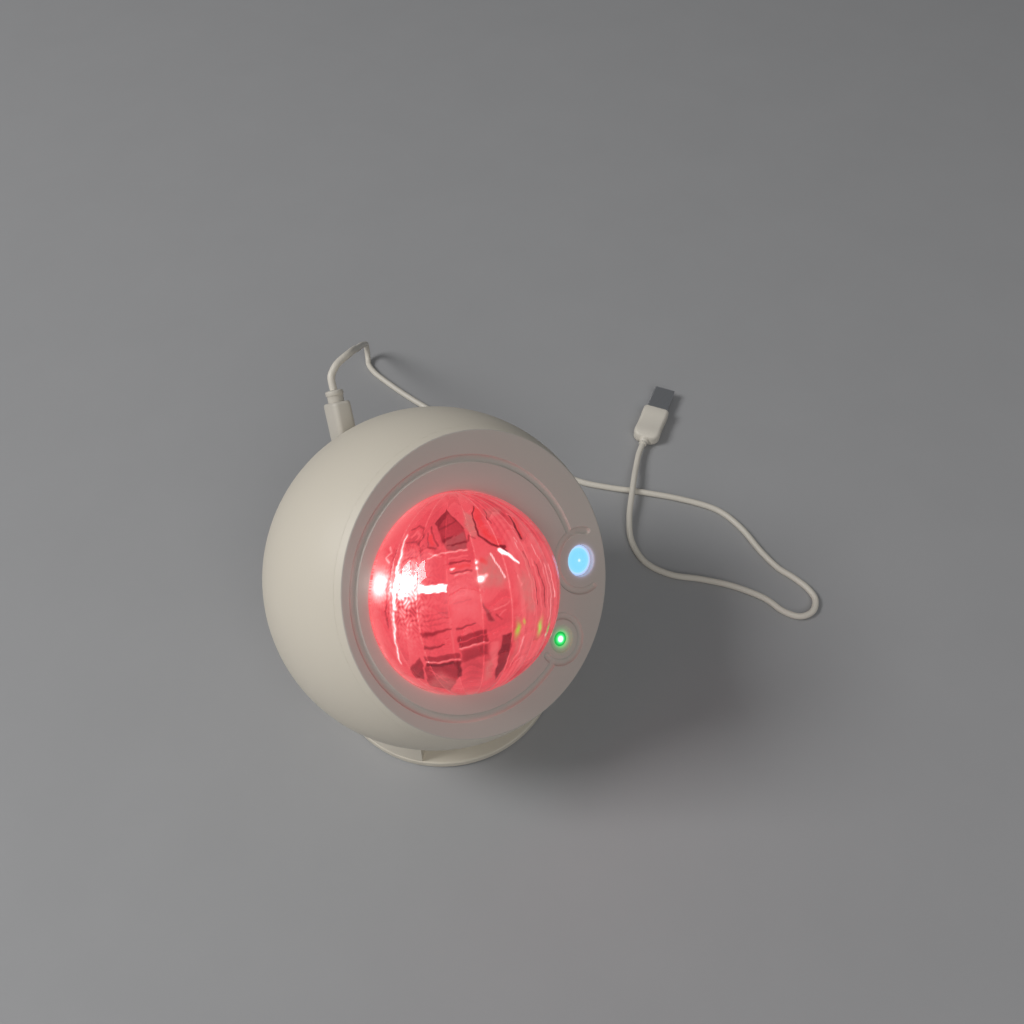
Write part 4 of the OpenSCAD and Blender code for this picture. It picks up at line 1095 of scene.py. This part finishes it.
def make_relief(material):
    """Plug's strain relief: a round neck and a collar, from a profile turned about the plug's axis."""
    rows = []
    for along, r in RELIEF_PROFILE:
        ring = circle((PLUG_SIDE, -PLUG_BACK), r, ROUND_SIDES)
        rows.append(np.column_stack([np.full(ROUND_SIDES, PLUG_END + along), ring]))
    relief = Build()
    relief.grid(plug_place(np.array(rows)), cap_first=True, cap_last=True)
    return relief.piece("plug_collar", material, "head", ["plug_relief"], sharp=50)


def usb_place(along, ring):
    """Far plug's axes to the room: along its heading on the table, across it and up."""
    start = np.array(LEAD_POINTS[-1], float)
    c, s = math.cos(USB_TURN), math.sin(USB_TURN)
    ring = np.asarray(ring, float)
    along = np.broadcast_to(along, ring.shape[:-1])
    return start + np.stack([along*c + ring[..., 0]*s, along*s - ring[..., 0]*c, ring[..., 1]], -1)


def make_usb(material, contact_metal):
    """Far plug: a ribbed neck, a soft grip with a dished top, and the contacts on its tongue."""
    rows = [usb_place(along, circle((0, 0), r, ROUND_SIDES)) for along, r in USB_NECK_PROFILE]
    neck = Build()
    neck.grid(rows, cap_first=True, cap_last=True)
    neck_piece = neck.piece("usb_neck", material, "base", ["usb_a_relief"], sharp=50)
    rows = [usb_place(USB_NECK + along, rounded_ring(USB_W - narrow, USB_H - low, USB_ROUND))
            for along, narrow, low in USB_SECTIONS]
    grip = Build()
    grip.grid(rows, cap_first=True, cap_last=True)
    grip_piece = grip.piece("usb_grip", material, "base", ["usb_a_grip"], sharp=60)
    contacts = Build()
    for side in CONTACT_SIDES:
        strip = rounded_ring(CONTACT_W, CONTACT_T, CONTACT_ROUND, 3) + (side, CONTACT_UP)
        rows = [usb_place(USB_NECK + USB_LEN + along, strip) for along in CONTACT_RUN]
        contacts.grid(rows, cap_first=True, cap_last=True)
    contact_piece = contacts.piece("usb_contacts", contact_metal, "base")
    return [neck_piece, grip_piece, contact_piece]


# Cord
def smooth_route(points, steps):
    """Smooth curve through the points: each stretch is a cubic of the four points about it."""
    p = np.array([tuple(k) for k in points], float)
    p = np.concatenate([p[:1], p, p[-1:]])
    t = (np.arange(steps)/steps)[None, :, None]
    a, b, c, d = (p[k:len(p) - 3 + k, None] for k in range(4))
    curve = 0.5*(2*b + (c - a)*t + (2*a - 5*b + 4*c - d)*t**2 + (3*b - a - 3*c + d)*t**3)
    return np.concatenate([curve.reshape(-1, 3), p[-1:]])


def make_cord(material):
    """Cord: a circle carried along the route; each step turns its axes with the route, without twist."""
    path = smooth_route(LEAD_POINTS, CORD_STEPS)
    ahead = np.gradient(path, axis=0)
    ahead /= np.linalg.norm(ahead, axis=1, keepdims=True)
    side = np.cross(ahead, [0, 0, 1])
    side[0] /= np.linalg.norm(side[0])
    for k in range(1, len(side)):
        side[k] = side[k - 1] - ahead[k]*(side[k - 1] @ ahead[k])
        side[k] /= np.linalg.norm(side[k])
    up = np.cross(side, ahead)
    a = (np.arange(CORD_SIDES)*TURN/CORD_SIDES)[None, :, None]
    rows = path[:, None] + CORD_D/2*(np.cos(a)*side[:, None] + np.sin(a)*up[:, None])
    cord = Build()
    cord.grid(rows, cap_first=True, cap_last=True)
    return cord.piece("cord", material, None, ["cord_lead", "cord_run"], sharp=60), path


# Studio
def make_studio():
    """Pale floor, a soft key light from the left, a weak fill and a pale surround."""
    floor_finish = plastic("studio_floor", (0.40, 0.40, 0.405), (0.37, 0.37, 0.375), 0.6, 900.0, 0.1)
    span = FLOOR_HALF*np.array([[-1, -1, 0], [1, -1, 0], [1, 1, 0], [-1, 1, 0]], float)
    mesh = bpy.data.meshes.new("floor")
    mesh.from_pydata((span*MM).tolist(), [], [(0, 1, 2, 3)])
    mesh.materials.append(floor_finish)
    floor = bpy.data.objects.new("floor", mesh)
    bpy.context.scene.collection.objects.link(floor)
    for name, place, size, watts, highlight in LAMPS:
        data = bpy.data.lights.new(name, "AREA")
        data.size = size
        data.energy = watts
        lamp = bpy.data.objects.new(name, data)
        lamp.visible_glossy = highlight
        bpy.context.scene.collection.objects.link(lamp)
        aim = Vector(LAMP_AIM) - Vector(place)
        lamp.matrix_world = Matrix.Translation(place) @ aim.to_track_quat("-Z", "Y").to_matrix().to_4x4()
    world = bpy.data.worlds.new("surround")
    world.use_nodes = True
    bpy.context.scene.view_settings.view_transform = "Standard"
    sky = world.node_tree.nodes["Background"]
    sky.inputs["Color"].default_value = SURROUND
    sky.inputs["Strength"].default_value = SURROUND_STRENGTH
    bpy.context.scene.world = world


# Camera and lead first, then the lamp and its studio
make_camera()
cord_finish = plastic("cord_jacket", (0.78, 0.73, 0.64), (0.72, 0.67, 0.585), 0.45, 1800.0, 0.2)
cord_piece, cord_path = make_cord(cord_finish)
# The plug's grip and collar are the far plug's cream, darkened as painted shade
shaded_plug_finish = plastic("plug_cream", (0.65, 0.605, 0.53), (0.60, 0.56, 0.49), 0.45, 2600.0, 0.25)
usb_finish = plastic("usb_cream", (0.78, 0.73, 0.64), (0.73, 0.68, 0.595), 0.4, 2600.0, 0.25)
gold = metal("contact_gold", (0.80, 0.58, 0.25), (0.72, 0.50, 0.20), 0.25)
plug_pieces = [make_plug(shaded_plug_finish), make_relief(shaded_plug_finish)]
usb_pieces = make_usb(usb_finish, gold)
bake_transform(cord_piece)
nodes = frame["nodes"]

cream = plastic("shell_cream", (0.78, 0.715, 0.60), (0.74, 0.675, 0.565), 0.5)
make_face_plate(shaded_face_plastic(), cream)
make_dome(dome_plastic())
make_core(lit_material("core_lit", 1.0, (0.25, 0.02, 0.03)))
make_windows(lit_material("nebula_lit", 1.0, (0.03, 0.12, 0.2)),
             lit_material("laser_lit", 1.4, (0.02, 0.15, 0.05)))
make_studio()

# Finishes of the solids that show as they are, by their slot
FINISHES = {
    "cream_shell": cream,
    "cream_cradle": plastic("cradle_cream", (0.76, 0.70, 0.59), (0.72, 0.66, 0.555), 0.5),
    "black_plastic": plastic("black_moulding", (0.030, 0.030, 0.033), (0.022, 0.022, 0.024), 0.5),
    "white_plastic": plastic("white_moulding", (0.82, 0.81, 0.77), (0.77, 0.76, 0.72), 0.45),
    "wheel_clear": plastic("wheel_pink", (0.85, 0.55, 0.56), (0.75, 0.42, 0.44), 0.25),
    "steel": metal("steel", (0.72, 0.73, 0.75), (0.60, 0.61, 0.63), 0.36),
    "aluminium": metal("aluminium", (0.74, 0.75, 0.77), (0.62, 0.63, 0.66), 0.35),
    "brass": metal("brass", (0.72, 0.52, 0.22), (0.60, 0.42, 0.16)),
    "board_green": plastic("board_green", (0.05, 0.20, 0.10), (0.035, 0.15, 0.075), 0.35),
    "board_white": plastic("board_white", (0.80, 0.80, 0.79), (0.74, 0.74, 0.73), 0.4),
    "emitter": plastic("emitter", (0.90, 0.35, 0.33), (0.80, 0.25, 0.25), 0.25),
    "rubber_dark": plastic("rubber_dark", (0.035, 0.035, 0.036), (0.025, 0.025, 0.026), 0.8, 1500.0, 0.5),
    "rubber_pale": plastic("rubber_pale", (0.62, 0.60, 0.54), (0.55, 0.53, 0.47), 0.8, 1500.0, 0.5),
}
for part in frame["record"]["subparts"]:
    finish = FINISHES.get(part["material_slot"])
    if finish:
        for holder in nodes[part["node"]].material_slots:
            holder.material = finish
